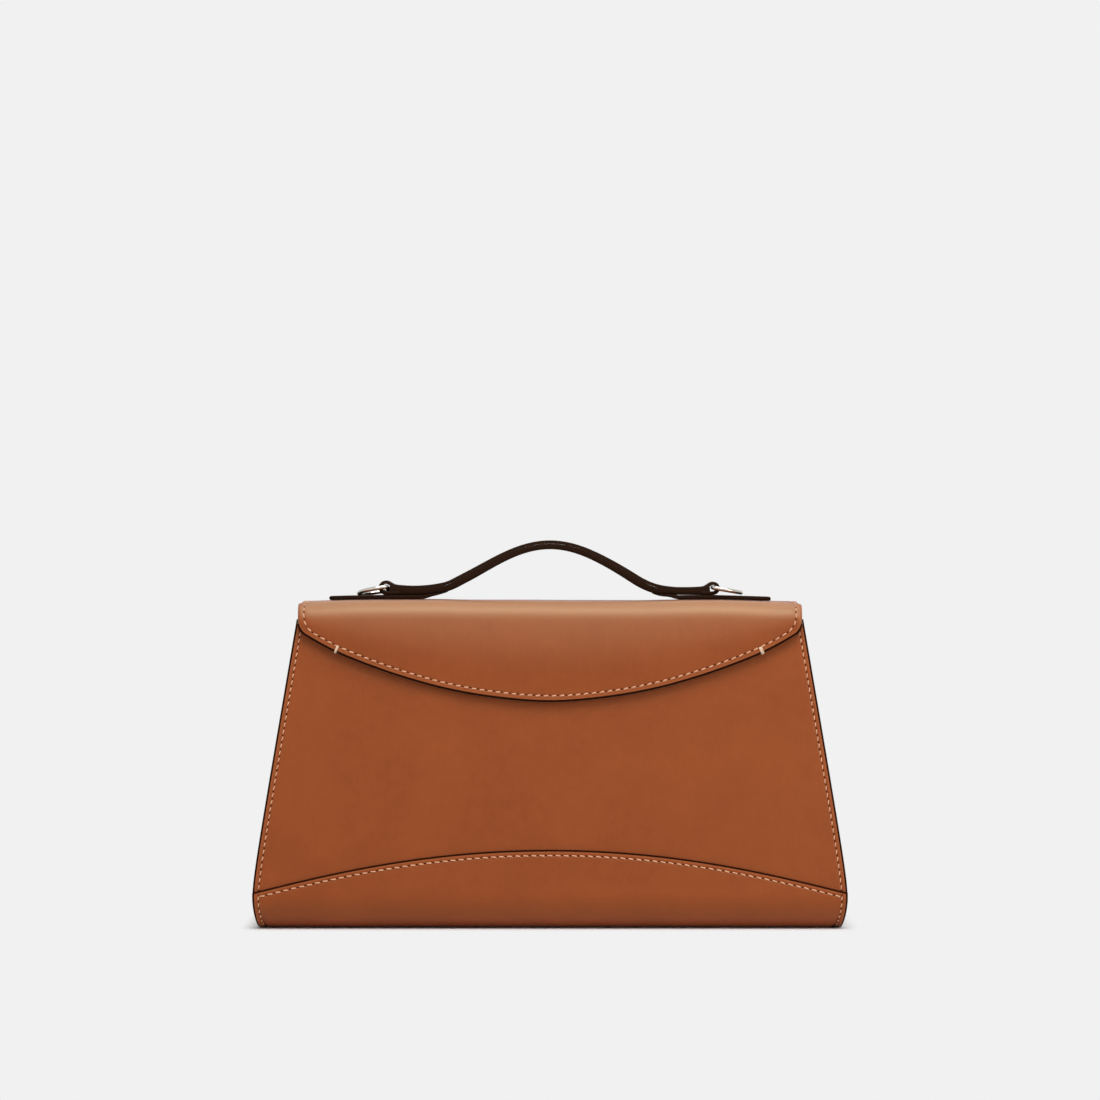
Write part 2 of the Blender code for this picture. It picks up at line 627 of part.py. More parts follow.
def build_ring(name, side, nickel, hinge):
    """A D ring whose origin is on its bar. It lies with its bow on the tab."""
    curve = bpy.data.curves.new("ring_" + name, "CURVE")
    curve.dimensions = "3D"
    curve.bevel_depth = RING_WIRE_RADIUS
    curve.bevel_resolution = 2
    points = ring_line()
    spline = curve.splines.new("POLY")
    spline.points.add(len(points) - 1)
    for point, (x, y) in zip(spline.points, points):
        point.co = (x, y, 0, 1)
    spline.use_cyclic_u = True
    curve.materials.append(nickel)
    ring = bpy.data.objects.new("ring_" + name, curve)
    bpy.context.scene.collection.objects.link(ring)
    rest_height = TAB_SEAT + TAB_THICKNESS + GLUE_GAP + RING_WIRE_RADIUS
    tilt = math.asin((LOOP_HEIGHT - rest_height) / RING_REACH)
    ring.location = (side * LOOP_X, 0, BODY_HEIGHT + LOOP_HEIGHT)
    ring.rotation_euler = (0, tilt, 0 if side > 0 else math.pi)
    ring.parent = hinge
    ring.matrix_parent_inverse = hinge.matrix_world.inverted()


def main():
    for old in list(bpy.data.objects):
        bpy.data.objects.remove(old)
    leather = finish_material("tan_leather", (0.31, 0.09, 0.036), 0.45)
    dark_leather = finish_material("dark_leather", (0.035, 0.018, 0.012), 0.4)
    suede = finish_material("suede_lining", (0.4, 0.25, 0.15), 0.9)
    board = finish_material("fibre_board", (0.25, 0.17, 0.1), 0.85)
    magnet = finish_material("magnet_steel", (0.5, 0.5, 0.5), 0.35, 1.0)
    nickel = finish_material("polished_nickel", (0.8, 0.79, 0.76), 0.12, 1.0)

    hinge = bpy.data.objects.new("flap_hinge", None)
    hinge.location = HINGE
    bpy.context.scene.collection.objects.link(hinge)
    bpy.context.view_layer.update()

    build_walls(leather, board, suede)
    build_base_panel(leather)
    for name, side in SIDES.items():
        build_gusset(name, side, leather, suede)
    build_pocket(leather)
    build_flap_tail(leather)
    build_flap(leather, board, suede, magnet, hinge)
    build_handle(dark_leather, board, hinge)
    for name, side in SIDES.items():
        build_ring(name, side, nickel, hinge)


main()
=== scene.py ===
# %% [markdown]
# # A leather bag with a top handle
#
# This lesson dresses a finished CAD model of a structured leather bag. The CAD model gives the sizes and
# says what moves: the flap folds back at the top of the back wall, and a D ring swings at each end of the
# handle. The frame stays as it is. Every visible leather, lining, ring and thread is made here as a mesh of
# its own, and all but the flap's leather, its lining and their thread ride on the frame.

# %% The frame
import math

import bpy
import numpy as np
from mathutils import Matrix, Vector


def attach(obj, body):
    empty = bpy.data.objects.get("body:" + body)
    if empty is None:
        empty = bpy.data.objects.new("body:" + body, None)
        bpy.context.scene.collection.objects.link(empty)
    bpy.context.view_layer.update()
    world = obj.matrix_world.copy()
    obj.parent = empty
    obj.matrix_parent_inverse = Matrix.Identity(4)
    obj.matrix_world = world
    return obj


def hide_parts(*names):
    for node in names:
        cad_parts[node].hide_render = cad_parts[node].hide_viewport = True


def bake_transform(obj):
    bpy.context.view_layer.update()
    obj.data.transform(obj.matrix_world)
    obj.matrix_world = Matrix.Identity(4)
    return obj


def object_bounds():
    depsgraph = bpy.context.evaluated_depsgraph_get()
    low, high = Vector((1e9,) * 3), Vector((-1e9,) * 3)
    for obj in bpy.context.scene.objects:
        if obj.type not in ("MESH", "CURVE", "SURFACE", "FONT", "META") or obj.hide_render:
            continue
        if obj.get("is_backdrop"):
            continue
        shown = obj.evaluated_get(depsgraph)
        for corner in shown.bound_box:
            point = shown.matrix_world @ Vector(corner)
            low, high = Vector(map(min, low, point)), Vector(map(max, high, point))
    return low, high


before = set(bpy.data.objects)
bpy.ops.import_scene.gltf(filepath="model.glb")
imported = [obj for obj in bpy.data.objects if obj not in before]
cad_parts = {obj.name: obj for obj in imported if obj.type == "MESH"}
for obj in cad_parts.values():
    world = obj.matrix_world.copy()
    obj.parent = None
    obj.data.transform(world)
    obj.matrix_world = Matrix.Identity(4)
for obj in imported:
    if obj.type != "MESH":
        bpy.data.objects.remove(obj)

MM = 0.001
FRONT, BACK = -1, 1
SIDES = {"left": -1, "right": 1}
cad_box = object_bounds()
print("nodes:", len(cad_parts))

# %% [markdown]
# ## The camera
#
# The bag is seen straight from the front by a camera a little above the top edge. A long lens two metres
# away keeps the sides nearly parallel, as in a catalogue picture. It comes first. The picture is square, so
# one field of view serves both ways.

# %% Camera
CAMERA_DISTANCE = 2.033
CAMERA_HEIGHT = 0.1814
PICTURE_SIDE = 0.528
PICTURE_DISTANCE = 2.0
SENSOR = 36

camera = bpy.data.objects.new("camera", bpy.data.cameras.new("camera"))
bpy.context.scene.collection.objects.link(camera)
camera.location = (0, -CAMERA_DISTANCE, CAMERA_HEIGHT)
camera.rotation_euler = (math.pi / 2, 0, 0)
camera.data.sensor_width = SENSOR
camera.data.lens = SENSOR * PICTURE_DISTANCE / PICTURE_SIDE
bpy.context.scene.camera = camera
print("lens in mm:", round(camera.data.lens, 1))

# %% [markdown]
# ## The bag's profile
#
# A bag like this is drawn first as one profile: a flat base, a round bend at the foot of each wall, and two
# walls that lean in to a narrow mouth. "Run" is the distance along that profile from the middle of the
# base, negative up the front and positive up the back. "Depth" is how far in a layer lies from the
# outermost leather. With these two numbers and x, each layer can be drawn flat, as a bag maker cuts it, and
# then laid on the profile.

# %% Sizes of the body
BODY_HEIGHT = 157.3 * MM
BODY_WIDTH = 284.8 * MM
WIDEST_HEIGHT = 16 * MM
BASE_DRAW_IN = 2.2 * MM
SIDE_TAPER = 0.165
SIDE_EASE = 10.8 * MM
BASE_DEPTH = 84 * MM
TOP_DEPTH = 46 * MM
BASE_BEND = 15 * MM
PANEL_DEPTH = 1.7 * MM
FLANGE_DEPTH = 3.5 * MM
LINING_DEPTH = 5.1 * MM
POCKET_DEPTH = 6.2 * MM
SIDE_LINING_DEPTH = 6.6 * MM

BEND_CENTRE_Y = BASE_DEPTH / 2 - BASE_BEND
TOP_ACROSS = TOP_DEPTH / 2 - BEND_CENTRE_Y
TOP_UP = BODY_HEIGHT - BASE_BEND
LEAN = math.atan2(TOP_UP, TOP_ACROSS) - math.acos(BASE_BEND / math.hypot(TOP_ACROSS, TOP_UP))
BEND_RUN = BASE_BEND * (math.pi / 2 + LEAN)
WALL_RUN = BEND_CENTRE_Y + BEND_RUN
WALL_FOOT = BASE_BEND * (1 + math.sin(LEAN))


def ease(share):
    """A smooth step from 0 to 1."""
    share = np.clip(share, 0, 1)
    return share * share * (3 - 2 * share)


def laid(x, y, z):
    """Points from coordinates, which may be arrays or plain numbers."""
    return np.stack(np.broadcast_arrays(x, y, z), axis=-1)


def unit(vectors):
    """The same directions with a length of one."""
    return vectors / np.maximum(np.linalg.norm(vectors, axis=-1, keepdims=True), 1e-15)


def half_width(z):
    """Half the body's width at a height."""
    above = np.asarray(z) - WIDEST_HEIGHT
    drawn_in = BASE_DRAW_IN * (above / WIDEST_HEIGHT) ** 2
    tapered = SIDE_TAPER * above**2 / np.maximum(above + SIDE_EASE, MM)
    return BODY_WIDTH / 2 - np.where(above < 0, drawn_in, tapered)


def wall_point(run, depth):
    """(y, z) on the body's profile."""
    along = np.abs(run)
    turned = np.clip(along - BEND_CENTRE_Y, 0, BEND_RUN) / BASE_BEND
    climbed = np.maximum(along - WALL_RUN, 0)
    y = np.minimum(along, BEND_CENTRE_Y) + (BASE_BEND - depth) * np.sin(turned) - climbed * math.sin(LEAN)
    z = BASE_BEND - (BASE_BEND - depth) * np.cos(turned) + climbed * math.cos(LEAN)
    return np.sign(run) * y, z


def run_to(z, depth=0.0):
    """Run at which the straight part of a wall reaches a height."""
    return WALL_RUN + (z - WALL_FOOT + depth * math.sin(LEAN)) / math.cos(LEAN)


def run_at_height(z):
    """Run at which the outside reaches a height, also inside the base bend."""
    inside_bend = BEND_CENTRE_Y + BASE_BEND * np.arccos(1 - np.minimum(z, WALL_FOOT) / BASE_BEND)
    return np.where(np.asarray(z) >= WALL_FOOT, run_to(z), inside_bend)


def body_place(x, run, depth):
    """A point of a layer of the body, from its place in the flat pattern."""
    y, z = wall_point(run, depth)
    return laid(x, y, z)


print("walls lean in by", round(math.degrees(LEAN), 1), "degrees")

# %% [markdown]
# ## Cutting a hide
#
# Every leather here is a flat shape with a thickness, rounded and painted at its cut edge. It could be made
# with the Solidify and Bevel modifiers, but a bevel breaks where an edge is curved and thin. So the flat
# shape gets a grid whose lines crowd together near the edges, each grid point knows its distance from the
# cut edge, and the two faces close on each other along a small curve of that distance. The seam is a
# shallow groove of the same kind.
#
# Two attributes stay on the mesh for the materials: "flat", the place in the flat pattern in millimetres,
# and "seam", which holds the count of stitches along the seam, the distance from it and the distance from
# the edge.

# %% Flat grids
EDGE_STATIONS = np.array([
    0, 0.04, 0.12, 0.26, 0.45, 0.7, 1.1, 1.7, 2.2, 2.55, 2.9, 3.25, 3.6, 4.2, 5.2, 6.6,
]) * MM
PLAIN_STATIONS = np.array([0, 0.06, 0.2, 0.45, 0.9, 2.2]) * MM
FAR_AWAY = 99 * MM


def stations(length, step, near):
    """Places from 0 to a length, crowded at both ends."""
    near = near[near < length / 2 - MM / 4]
    rest = length - 2 * near[-1]
    middle = near[-1] + rest * np.linspace(0, 1, max(int(math.ceil(rest / step)), 1) + 1)[1:-1]
    return np.concatenate([near, middle, length - near[::-1]])


def spread(nominal, start, end, kept):
    """Lays nominal stations between two ends that vary, and keeps their distance from the nearer end."""
    length = nominal[-1]
    scale = (end - start - 2 * kept) / (length - 2 * kept)
    inner = start + kept + (nominal - kept) * scale
    from_end = np.where(nominal >= length - kept, end - length + nominal, inner)
    return np.where(nominal <= kept, start + nominal, from_end)


def flat_grid(side, low, high, step, near):
    """Flat points (x, run), each row across the piece and the rows from its low end to its high end."""
    middle_low, middle_high = float(low(0.0)), float(high(0.0))
    widest = float(np.max(side(np.linspace(middle_low, middle_high, 200))))
    across = stations(2 * widest, step[0], near)
    along = stations(middle_high - middle_low, step[1], near)
    kept = min(near[-1], widest / 2)
    kept_along = min(near[-1], (middle_high - middle_low) / 3)
    x = np.tile(across - widest, (len(along), 1))
    run = np.tile(along[:, None] + middle_low, (1, len(across)))
    for _ in range(4):
        reach = side(run)
        x = spread(across, -reach, reach, kept)
        run = spread(along[:, None], low(x), high(x), kept_along)
    return x, run


def rim(grid):
    """Points once round the edge of a grid."""
    return np.concatenate([grid[0, :-1], grid[:-1, -1], grid[-1, :0:-1], grid[:0:-1, 0]])


def nearest_on(path, points):
    """Distance of points from a path, and how far along it their nearest place is."""
    start, step = path[:-1], np.diff(path, axis=0)
    length = np.maximum(np.hypot(step[:, 0], step[:, 1]), 1e-9)
    travelled = np.concatenate([[0], np.cumsum(length)[:-1]])
    best = np.full(len(points), np.inf)
    along = np.zeros(len(points))
    for one, direction, size, before in zip(start, step, length, travelled):
        share = np.clip(((points - one) @ direction) / size**2, 0, 1)
        away = points - one - share[:, None] * direction
        distance = np.hypot(away[:, 0], away[:, 1])
        closer = distance < best
        best = np.where(closer, distance, best)
        along = np.where(closer, before + share * size, along)
    return best, along


# %% [markdown]
# ## Stitch lines
#
# A stitch line is a path in the flat pattern with a pitch, the distance between two holes. The same path
# gives the groove in the leather, the dark holes in its material and the thread on top, so the three always
# agree.

# %% Stitch lines
class Seam:
    """A row of stitches: a path in the flat pattern, in metres, cut into whole stitches."""

    def __init__(self, path, pitch):
        self.path = np.asarray(path, dtype=float)
        step = np.diff(self.path, axis=0)
        self.travelled = np.concatenate([[0], np.cumsum(np.hypot(step[:, 0], step[:, 1]))])
        self.count = max(int(round(self.travelled[-1] / pitch)), 1)
        self.pitch = self.travelled[-1] / self.count

    def at(self, along):
        """Flat points at distances along the path."""
        return np.stack([np.interp(along, self.travelled, self.path[:, axis]) for axis in (0, 1)], axis=-1)


def seam_lookup(seams, points):
    """For each point: stitches along the nearest seam, and the distance from it."""
    off = np.full(len(points), FAR_AWAY)
    stitches = np.zeros(len(points))
    for seam in seams:
        distance, along = nearest_on(seam.path, points)
        closer = distance < off
        off = np.where(closer, distance, off)
        stitches = np.where(closer, along / seam.pitch, stitches)
    return stitches, off


print("edge stations:", len(EDGE_STATIONS))

# %% [markdown]
# ## From flat shape to closed leather
#
# The face keeps its place, the back lies one thickness in, and both meet on the rim. A crown, how far from
# the edge the face begins to round, is larger than the one under it where two plies lie on each other, so
# their sides look like one painted edge.

# %% Closed leather
GROOVE_DEPTH = 0.2 * MM
GROOVE_WIDTH = 0.42 * MM
EDGE_POWER = 2.3


def drop(edge, crown, height):
    """How far a face falls towards the rim at a distance from the edge."""
    share = np.clip(1 - edge / crown, 0, 1)
    return height * (1 - (1 - share**EDGE_POWER) ** (1 / EDGE_POWER))


def sheet_normals(place, x, run, edge):
    """Unit normals of a laid sheet, from small steps in its flat pattern."""
    nudge = 0.05 * MM
    across = place(x + nudge, run, edge) - place(x - nudge, run, edge)
    along = place(x, run + nudge, edge) - place(x, run - nudge, edge)
    return unit(np.cross(across, along))


def grid_faces(rows, columns):
    """Quads of a grid."""
    index = np.arange(rows * columns).reshape(rows, columns)
    return np.stack([index[:-1, :-1], index[:-1, 1:], index[1:, 1:], index[1:, :-1]], axis=-1).reshape(-1, 4)


def add_mesh(name, points, faces, finishes, face_finish=None, flat=None, seam=None):
    """Makes a smooth mesh object with the attributes that the materials read."""
    mesh = bpy.data.meshes.new(name)
    mesh.from_pydata(np.asarray(points).tolist(), [], [list(map(int, face)) for face in faces])
    for finish in finishes:
        mesh.materials.append(finish)
    mesh.polygons.foreach_set("use_smooth", [True] * len(mesh.polygons))
    if face_finish is not None:
        mesh.polygons.foreach_set("material_index", np.asarray(face_finish, dtype=np.int32))
    for label, values in (("flat", flat), ("seam", seam)):
        if values is not None:
            layer = mesh.attributes.new(label, "FLOAT_VECTOR", "POINT")
            layer.data.foreach_set("vector", np.asarray(values, dtype=np.float32).ravel())
    mesh.update()
    mesh.validate()
    made = bpy.data.objects.new(name, mesh)
    bpy.context.scene.collection.objects.link(made)
    return made


def close_layers(name, face, back, rim_points, faces, finishes, flat, seam):
    """Joins a face and a back that already meet at their rim into one closed solid."""
    count = len(face)
    on_rim = np.zeros(count, dtype=bool)
    on_rim[rim_points] = True
    own_back = np.flatnonzero(~on_rim)
    back_index = np.arange(count)
    back_index[own_back] = count + np.arange(len(own_back))
    points = np.concatenate([face, back[own_back]])
    back_faces = back_index[faces][:, ::-1]
    face_finish = [0] * len(faces) + [min(1, len(finishes) - 1)] * len(back_faces)
    return add_mesh(
        name, points, np.concatenate([faces, back_faces]), finishes, face_finish,
        np.concatenate([flat, flat[own_back]]), np.concatenate([seam, seam[own_back]]),
    )


def hide(name, shape, place, thickness, finishes, seams=(), step=(3.2 * MM, 3 * MM), near=EDGE_STATIONS,
         crown=None, under=None, relief=None, flip=False):
    """A piece of leather or lining, cut flat and laid. Its shape is (half width, low end, high end)."""
    x, run = flat_grid(*shape, step, near)
    flat = np.stack([x, run], axis=-1).reshape(-1, 2)
    if callable(thickness):
        thickness = thickness(flat[:, 0], flat[:, 1])
    crown = crown or thickness / 2
    under = under or thickness / 2
    edge_path = rim(np.stack([x, run], axis=-1))
    edge, _ = nearest_on(np.concatenate([edge_path, edge_path[:1]]), flat)
    stitches, off = seam_lookup(seams, flat)
    base = place(x, run, edge.reshape(x.shape))
    normal = sheet_normals(place, x, run, edge.reshape(x.shape)) * (-1 if flip else 1)
    rows, columns = x.shape
    index = np.arange(rows * columns).reshape(rows, columns)
    rim_points = rim(index)
    edge[rim_points] = 0
    crown_height = thickness * crown / (crown + under)
    sunk = drop(edge, crown, crown_height) + GROOVE_DEPTH * np.exp(-((off / GROOVE_WIDTH) ** 2))
    if relief is not None:
        sunk = sunk + relief(flat[:, 0], flat[:, 1]) * np.clip(edge / (3 * MM), 0, 1)
    risen = thickness - drop(edge, under, thickness - crown_height)
    base, normal = base.reshape(-1, 3), normal.reshape(-1, 3)
    face = base - normal * sunk[:, None]
    back = base - normal * risen[:, None]
    faces = grid_faces(rows, columns)
    if flip:
        faces = faces[:, ::-1]
    seam_values = np.stack([stitches, off / MM, edge / MM], axis=-1)
    flat_values = np.column_stack([flat / MM, np.zeros(len(flat))])
    made = close_layers(name, face, back, rim_points, faces, finishes, flat_values, seam_values)
    print(name, "faces:", len(made.data.polygons))
    return made


# %% [markdown]
# ## Shader maths
#
# A finish is a network of nodes. Wired by hand it is hard to read, so one small class stands for a number
# on a wire and lets it be added, multiplied and compared in plain expressions. Each operation adds one Math
# node.

# %% Values on wires
class Wire:
    """A number that varies over a surface."""

    def __init__(self, finish, socket):
        self.finish = finish
        self.socket = socket

    def maths(self, operation, first, second=None):
        inputs = {0: first} if second is None else {0: first, 1: second}
        return self.finish.node("ShaderNodeMath", {"operation": operation}, inputs)

    def __add__(self, other):
        return self.maths("ADD", self, other)

    def __radd__(self, other):
        return self.maths("ADD", other, self)

    def __sub__(self, other):
        return self.maths("SUBTRACT", self, other)

    def __rsub__(self, other):
        return self.maths("SUBTRACT", other, self)

    def __mul__(self, other):
        return self.maths("MULTIPLY", self, other)

    def __truediv__(self, other):
        return self.maths("DIVIDE", self, other)

    def cosine(self):
        return self.maths("COSINE", self)


# %% [markdown]
# ## Networks
#
# A network adds a node, sets its sockets and hands back its output as a value on a wire. A finish is the
# network of one material, with the few nodes that the leathers share.

# %% Networks and finishes
class Network:
    """A tree of nodes."""

    def __init__(self, tree):
        self.tree = tree

    def node(self, kind, settings=None, inputs=None, output=0):
        """Adds a node: its settings first, then the values or wires of its sockets."""
        node = self.tree.nodes.new(kind)
        for setting, value in (settings or {}).items():
            setattr(node, setting, value)
        for key, value in (inputs or {}).items():
            self.plug(self.find(node.inputs, key), value)
        return Wire(self, self.find(node.outputs, output))

    def find(self, sockets, key):
        if isinstance(key, int):
            return sockets[key]
        return next(socket for socket in sockets if key in (socket.identifier, socket.name))

    def plug(self, socket, value):
        if isinstance(value, Wire):
            self.tree.links.new(value.socket, socket)
        else:
            socket.default_value = value


class Finish(Network):
    """One material and its nodes."""

    def __init__(self, name):
        self.material = bpy.data.materials.new(name)
        self.material.use_nodes = True
        super().__init__(self.material.node_tree)
        self.shader = self.tree.nodes["Principled BSDF"]

    def attribute(self, name):
        return self.node("ShaderNodeAttribute", {"attribute_name": name}, output="Vector")

    def parts(self, vector):
        """The three numbers of a vector."""
        node = self.node("ShaderNodeSeparateXYZ", inputs={0: vector})
        return [Wire(self, socket) for socket in node.socket.node.outputs]

    def stretch(self, vector, amounts):
        return self.node("ShaderNodeVectorMath", {"operation": "MULTIPLY"}, {0: vector, 1: amounts})

    def noise(self, at, scale, detail=3.0, roughness=0.55, distortion=0.0):
        return self.node("ShaderNodeTexNoise", inputs={
            "Vector": at, "Scale": scale, "Detail": detail, "Roughness": roughness, "Distortion": distortion,
        })

    def cells(self, at, scale):
        """The distance to the nearest of many scattered points."""
        sockets = {"Vector": at, "Scale": scale}
        return self.node("ShaderNodeTexVoronoi", {"feature": "F1"}, sockets, "Distance")

    def between(self, value, low, high):
        """0 below low, 1 above high, and smooth between them. Low may be the larger one."""
        sockets = {"Value": value, "From Min": low, "From Max": high}
        return self.node("ShaderNodeMapRange", {"interpolation_type": "SMOOTHSTEP"}, sockets)

    def tint(self, share, first, second):
        """A colour between two colours."""
        settings = {"data_type": "RGBA", "blend_type": "MIX", "clamp_factor": True}
        sockets = {"Factor_Float": share, "A_Color": first, "B_Color": second}
        return self.node("ShaderNodeMix", settings, sockets, "Result_Color")

    def bump(self, height, distance, strength=1.0, after=None):
        sockets = {"Height": height, "Distance": distance, "Strength": strength}
        if after is not None:
            sockets["Normal"] = after
        return self.node("ShaderNodeBump", inputs=sockets)

    def surface(self, **sockets):
        """Sets the shader. An underscore in a name stands for a space."""
        for name, value in sockets.items():
            self.plug(self.shader.inputs[name.replace("_", " ")], value)
        return self.material

    def over(self, share, **sockets):
        """Lays a second shader over what the surface has, where share is 1."""
        second = self.node("ShaderNodeBsdfPrincipled", inputs={
            name.replace("_", " "): value for name, value in sockets.items()
        })
        surface = self.tree.nodes["Material Output"].inputs["Surface"]
        first = Wire(self, surface.links[0].from_socket)
        self.plug(surface, self.node("ShaderNodeMixShader", inputs={0: share, 1: first, 2: second}))
        return self.material


def colour(red, green, blue):
    return (red, green, blue, 1.0)


# %% [markdown]
# ## Tan calf leather
#
# The bag is smooth calf, dyed through and lightly waxed. Three scales make it look like skin: slow changes
# of tone as the hide takes dye unevenly, fine creases that run down the piece, and pores about half a
# millimetre apart. The cut edge is painted dark brown, the margin outside the stitches is rubbed a little
# paler, and the thread pulls a small hole into the leather at each end of a stitch, painted dark as
# painted shade for its inside. Along the flap's top bend the colour is paled: a painted highlight for the
# lamp above, with a little of the paling of stretched leather.

# %% Tan leather
TAN = colour(0.27, 0.0515, 0.009)
TAN_DEEP = colour(0.228, 0.041, 0.0065)
TAN_PALE = colour(0.36, 0.1, 0.032)
EDGE_PAINT = colour(0.024, 0.006, 0.0025)
# Painted shade inside the stitch holes.
HOLE_SHADE = colour(0.035, 0.004, 0.001)
FLAP_BEND_RUNS = (70.0, 80.0)
WAX_TINT = colour(1.0, 0.97, 0.62)
# Colour of the painted highlight along the flap's top bend.
PAINTED_BEND_HIGHLIGHT = colour(0.39, 0.185, 0.095)
PAINTED_WIDTH = 1.05
PAINTED_AT_SIDES = 0.1


def stitched_leather(name, base, deep, pale, paint, gloss, mirror, creases=0.2, pores=1.0, margin=2.3,
                     bend=None):
    """A smooth leather that knows its cut edge, its stitch line and its bend, along which a highlight is
    painted. Lengths are in mm.
    """
    finish = Finish(name)
    flat = finish.attribute("flat")
    stitches, off, edge = finish.parts(finish.attribute("seam"))
    clouds = finish.noise(flat, 0.022, 3, 0.5, 0.4)
    mottle = finish.noise(flat, 0.16, 4, 0.6, 0.3)
    grain = finish.noise(flat, 2.6, 3, 0.6)
    pore = finish.cells(flat, 2.2)
    crease = finish.noise(finish.stretch(flat, (0.3, 0.05, 1)), 1.0, 4, 0.65, 1.2)
    tone = finish.between(clouds, 0.32, 0.68) * 0.55 + finish.between(mottle, 0.3, 0.7) * 0.35
    tone = tone + finish.between(grain, 0.25, 0.75) * 0.1
    skin = finish.tint(tone, deep, base)
    # Painted highlight: along the flap's top bend the colour is paled for the band of light from the lamp
    # above, with a little of the paling of stretched leather.
    if bend is not None:
        run = finish.parts(flat)[1]
        below = run - bend[1]
        pulled = finish.between(below, 7, -2) * 0.74
        pulled = pulled + finish.between(below / (below + edge), 0.85, 0.05) * 0.26
        skin = finish.tint(finish.between(run, bend[0] - 4, bend[0] + 5) * pulled, skin, PAINTED_BEND_HIGHLIGHT)
    near_edge = finish.between(edge, margin, 0.6)
    skin = finish.tint(near_edge * 0.55, skin, pale)
    groove = finish.between(off, 0.75, 0.1)
    skin = finish.tint(groove * 0.3, skin, deep)
    # Painted shade: each stitch hole is coloured almost black for the shade inside it.
    at_hole = finish.between((stitches * (2 * math.pi)).cosine(), 0.55, 0.93)
    hole = at_hole * finish.between(off, 0.34, 0.18)
    width = PAINTED_WIDTH
    if bend is not None:
        past_bend = finish.between(run, bend[1] + 3, bend[1] + 11)
        width = past_bend * (PAINTED_WIDTH - PAINTED_AT_SIDES) + PAINTED_AT_SIDES
    painted = finish.between(edge - width, 0.0, -0.15)
    rough = gloss + finish.between(mottle, 0.2, 0.8) * 0.06 - grain * 0.05
    relief = finish.bump(finish.between(crease, 0.35, 0.75), 0.00012, creases)
    relief = finish.bump(finish.between(pore, 0.05, 0.35) * 0.6 + grain * 0.5, 0.00005, pores, relief)
    relief = finish.bump(1 - hole - groove * at_hole * 0.5, 0.00025, 1.0, relief)
    finish.surface(
        Base_Color=skin, Roughness=rough, Normal=relief, Specular_IOR_Level=mirror, Specular_Tint=WAX_TINT,
    )
    finish.over(hole * 0.8, Base_Color=HOLE_SHADE, Roughness=0.9, Specular_IOR_Level=0.0)
    return finish.over(painted, Base_Color=paint, Roughness=0.7, Normal=relief, Specular_IOR_Level=0.0)


tan_leather = stitched_leather("tan_calf", TAN, TAN_DEEP, TAN_PALE, EDGE_PAINT, 0.42, 0.4)
tan_flap = stitched_leather(
    "tan_calf_flap", TAN, TAN_DEEP, TAN_PALE, EDGE_PAINT, 0.38, 0.42, creases=0.3, bend=FLAP_BEND_RUNS,
)

# %% [markdown]
# ## Dark strap leather
#
# The strap and the tabs are dark brown bridle leather, dull with wax, and their edges are painted almost
# black. The same function makes it, from other colours and with a weaker mirror than the calf.

# %% Dark leather
dark_leather = stitched_leather(
    "dark_bridle", colour(0.027, 0.014, 0.0085), colour(0.018, 0.0085, 0.005), colour(0.04, 0.02, 0.012),
    colour(0.025, 0.012, 0.007), 0.42, 0.12, creases=0.25, pores=0.7, margin=1.6,
)
print("nodes in the dark leather:", len(dark_leather.node_tree.nodes))

# %% [markdown]
# ## Linings and flesh side
#
# The inside is split suede glued to the boards: a short nap that catches light at a glancing angle. Sheen
# gives that glow, and a fine noise stretched along the nap breaks it up. The back of each leather is its
# flesh side, rougher than the face, and on the calf its edge is painted too. A lining's back keeps the tones
# of its face, because a back, most likely the flap lining's own, comes through in small patches on the roll
# at the hinge when the flap is open.

# %% Suede and flesh
NAP = (1.0, 0.45, 1.0)
SUEDE_TONES = (colour(0.27, 0.145, 0.075), colour(0.4, 0.245, 0.145))


def napped(name, low, high, fuzz, paint=None):
    """Suede, or the flesh side of a leather."""
    finish = Finish(name)
    flat = finish.attribute("flat")
    _, off, edge = finish.parts(finish.attribute("seam"))
    patches = finish.noise(flat, 0.05, 3, 0.6, 0.8)
    fibres = finish.noise(finish.stretch(flat, NAP), 3.4, 4, 0.7, 0.4)
    tone = finish.between(patches, 0.3, 0.7) * 0.6 + finish.between(fibres, 0.3, 0.7) * 0.4
    skin = finish.tint(tone, low, high)
    skin = finish.tint(finish.between(off, 0.7, 0.2) * 0.4, skin, low)
    skin = finish.tint(finish.between(edge, 0.35, 0.2) * 0.6, skin, low)
    if paint is not None:
        skin = finish.tint(finish.between(edge, 1.1, 0.95), skin, paint)
    relief = finish.bump(fibres, 0.00012, 0.8)
    return finish.surface(
        Base_Color=skin, Roughness=0.86 + fibres * 0.08, Normal=relief, Specular_IOR_Level=0.2,
        Sheen_Weight=fuzz, Sheen_Roughness=0.5,
    )


suede = napped("suede", *SUEDE_TONES, 0.35)
suede_back = napped("suede_back", *SUEDE_TONES, 0.2)
flesh = napped("flesh_side", colour(0.25, 0.12, 0.06), colour(0.36, 0.2, 0.11), 0.2, paint=EDGE_PAINT)
dark_flesh = napped("dark_flesh_side", colour(0.03, 0.016, 0.01), colour(0.06, 0.034, 0.022), 0.1)

# %% [markdown]
# ## Thread
#
# The stitches are waxed linen, pale peach on the calf and dark on the strap, and the two bar tacks are cream.
# Real thread is two or three plies twisted together, which a slanted wave over each stitch shows without any
# extra mesh, in its relief and as painted shade in the grooves between the plies.

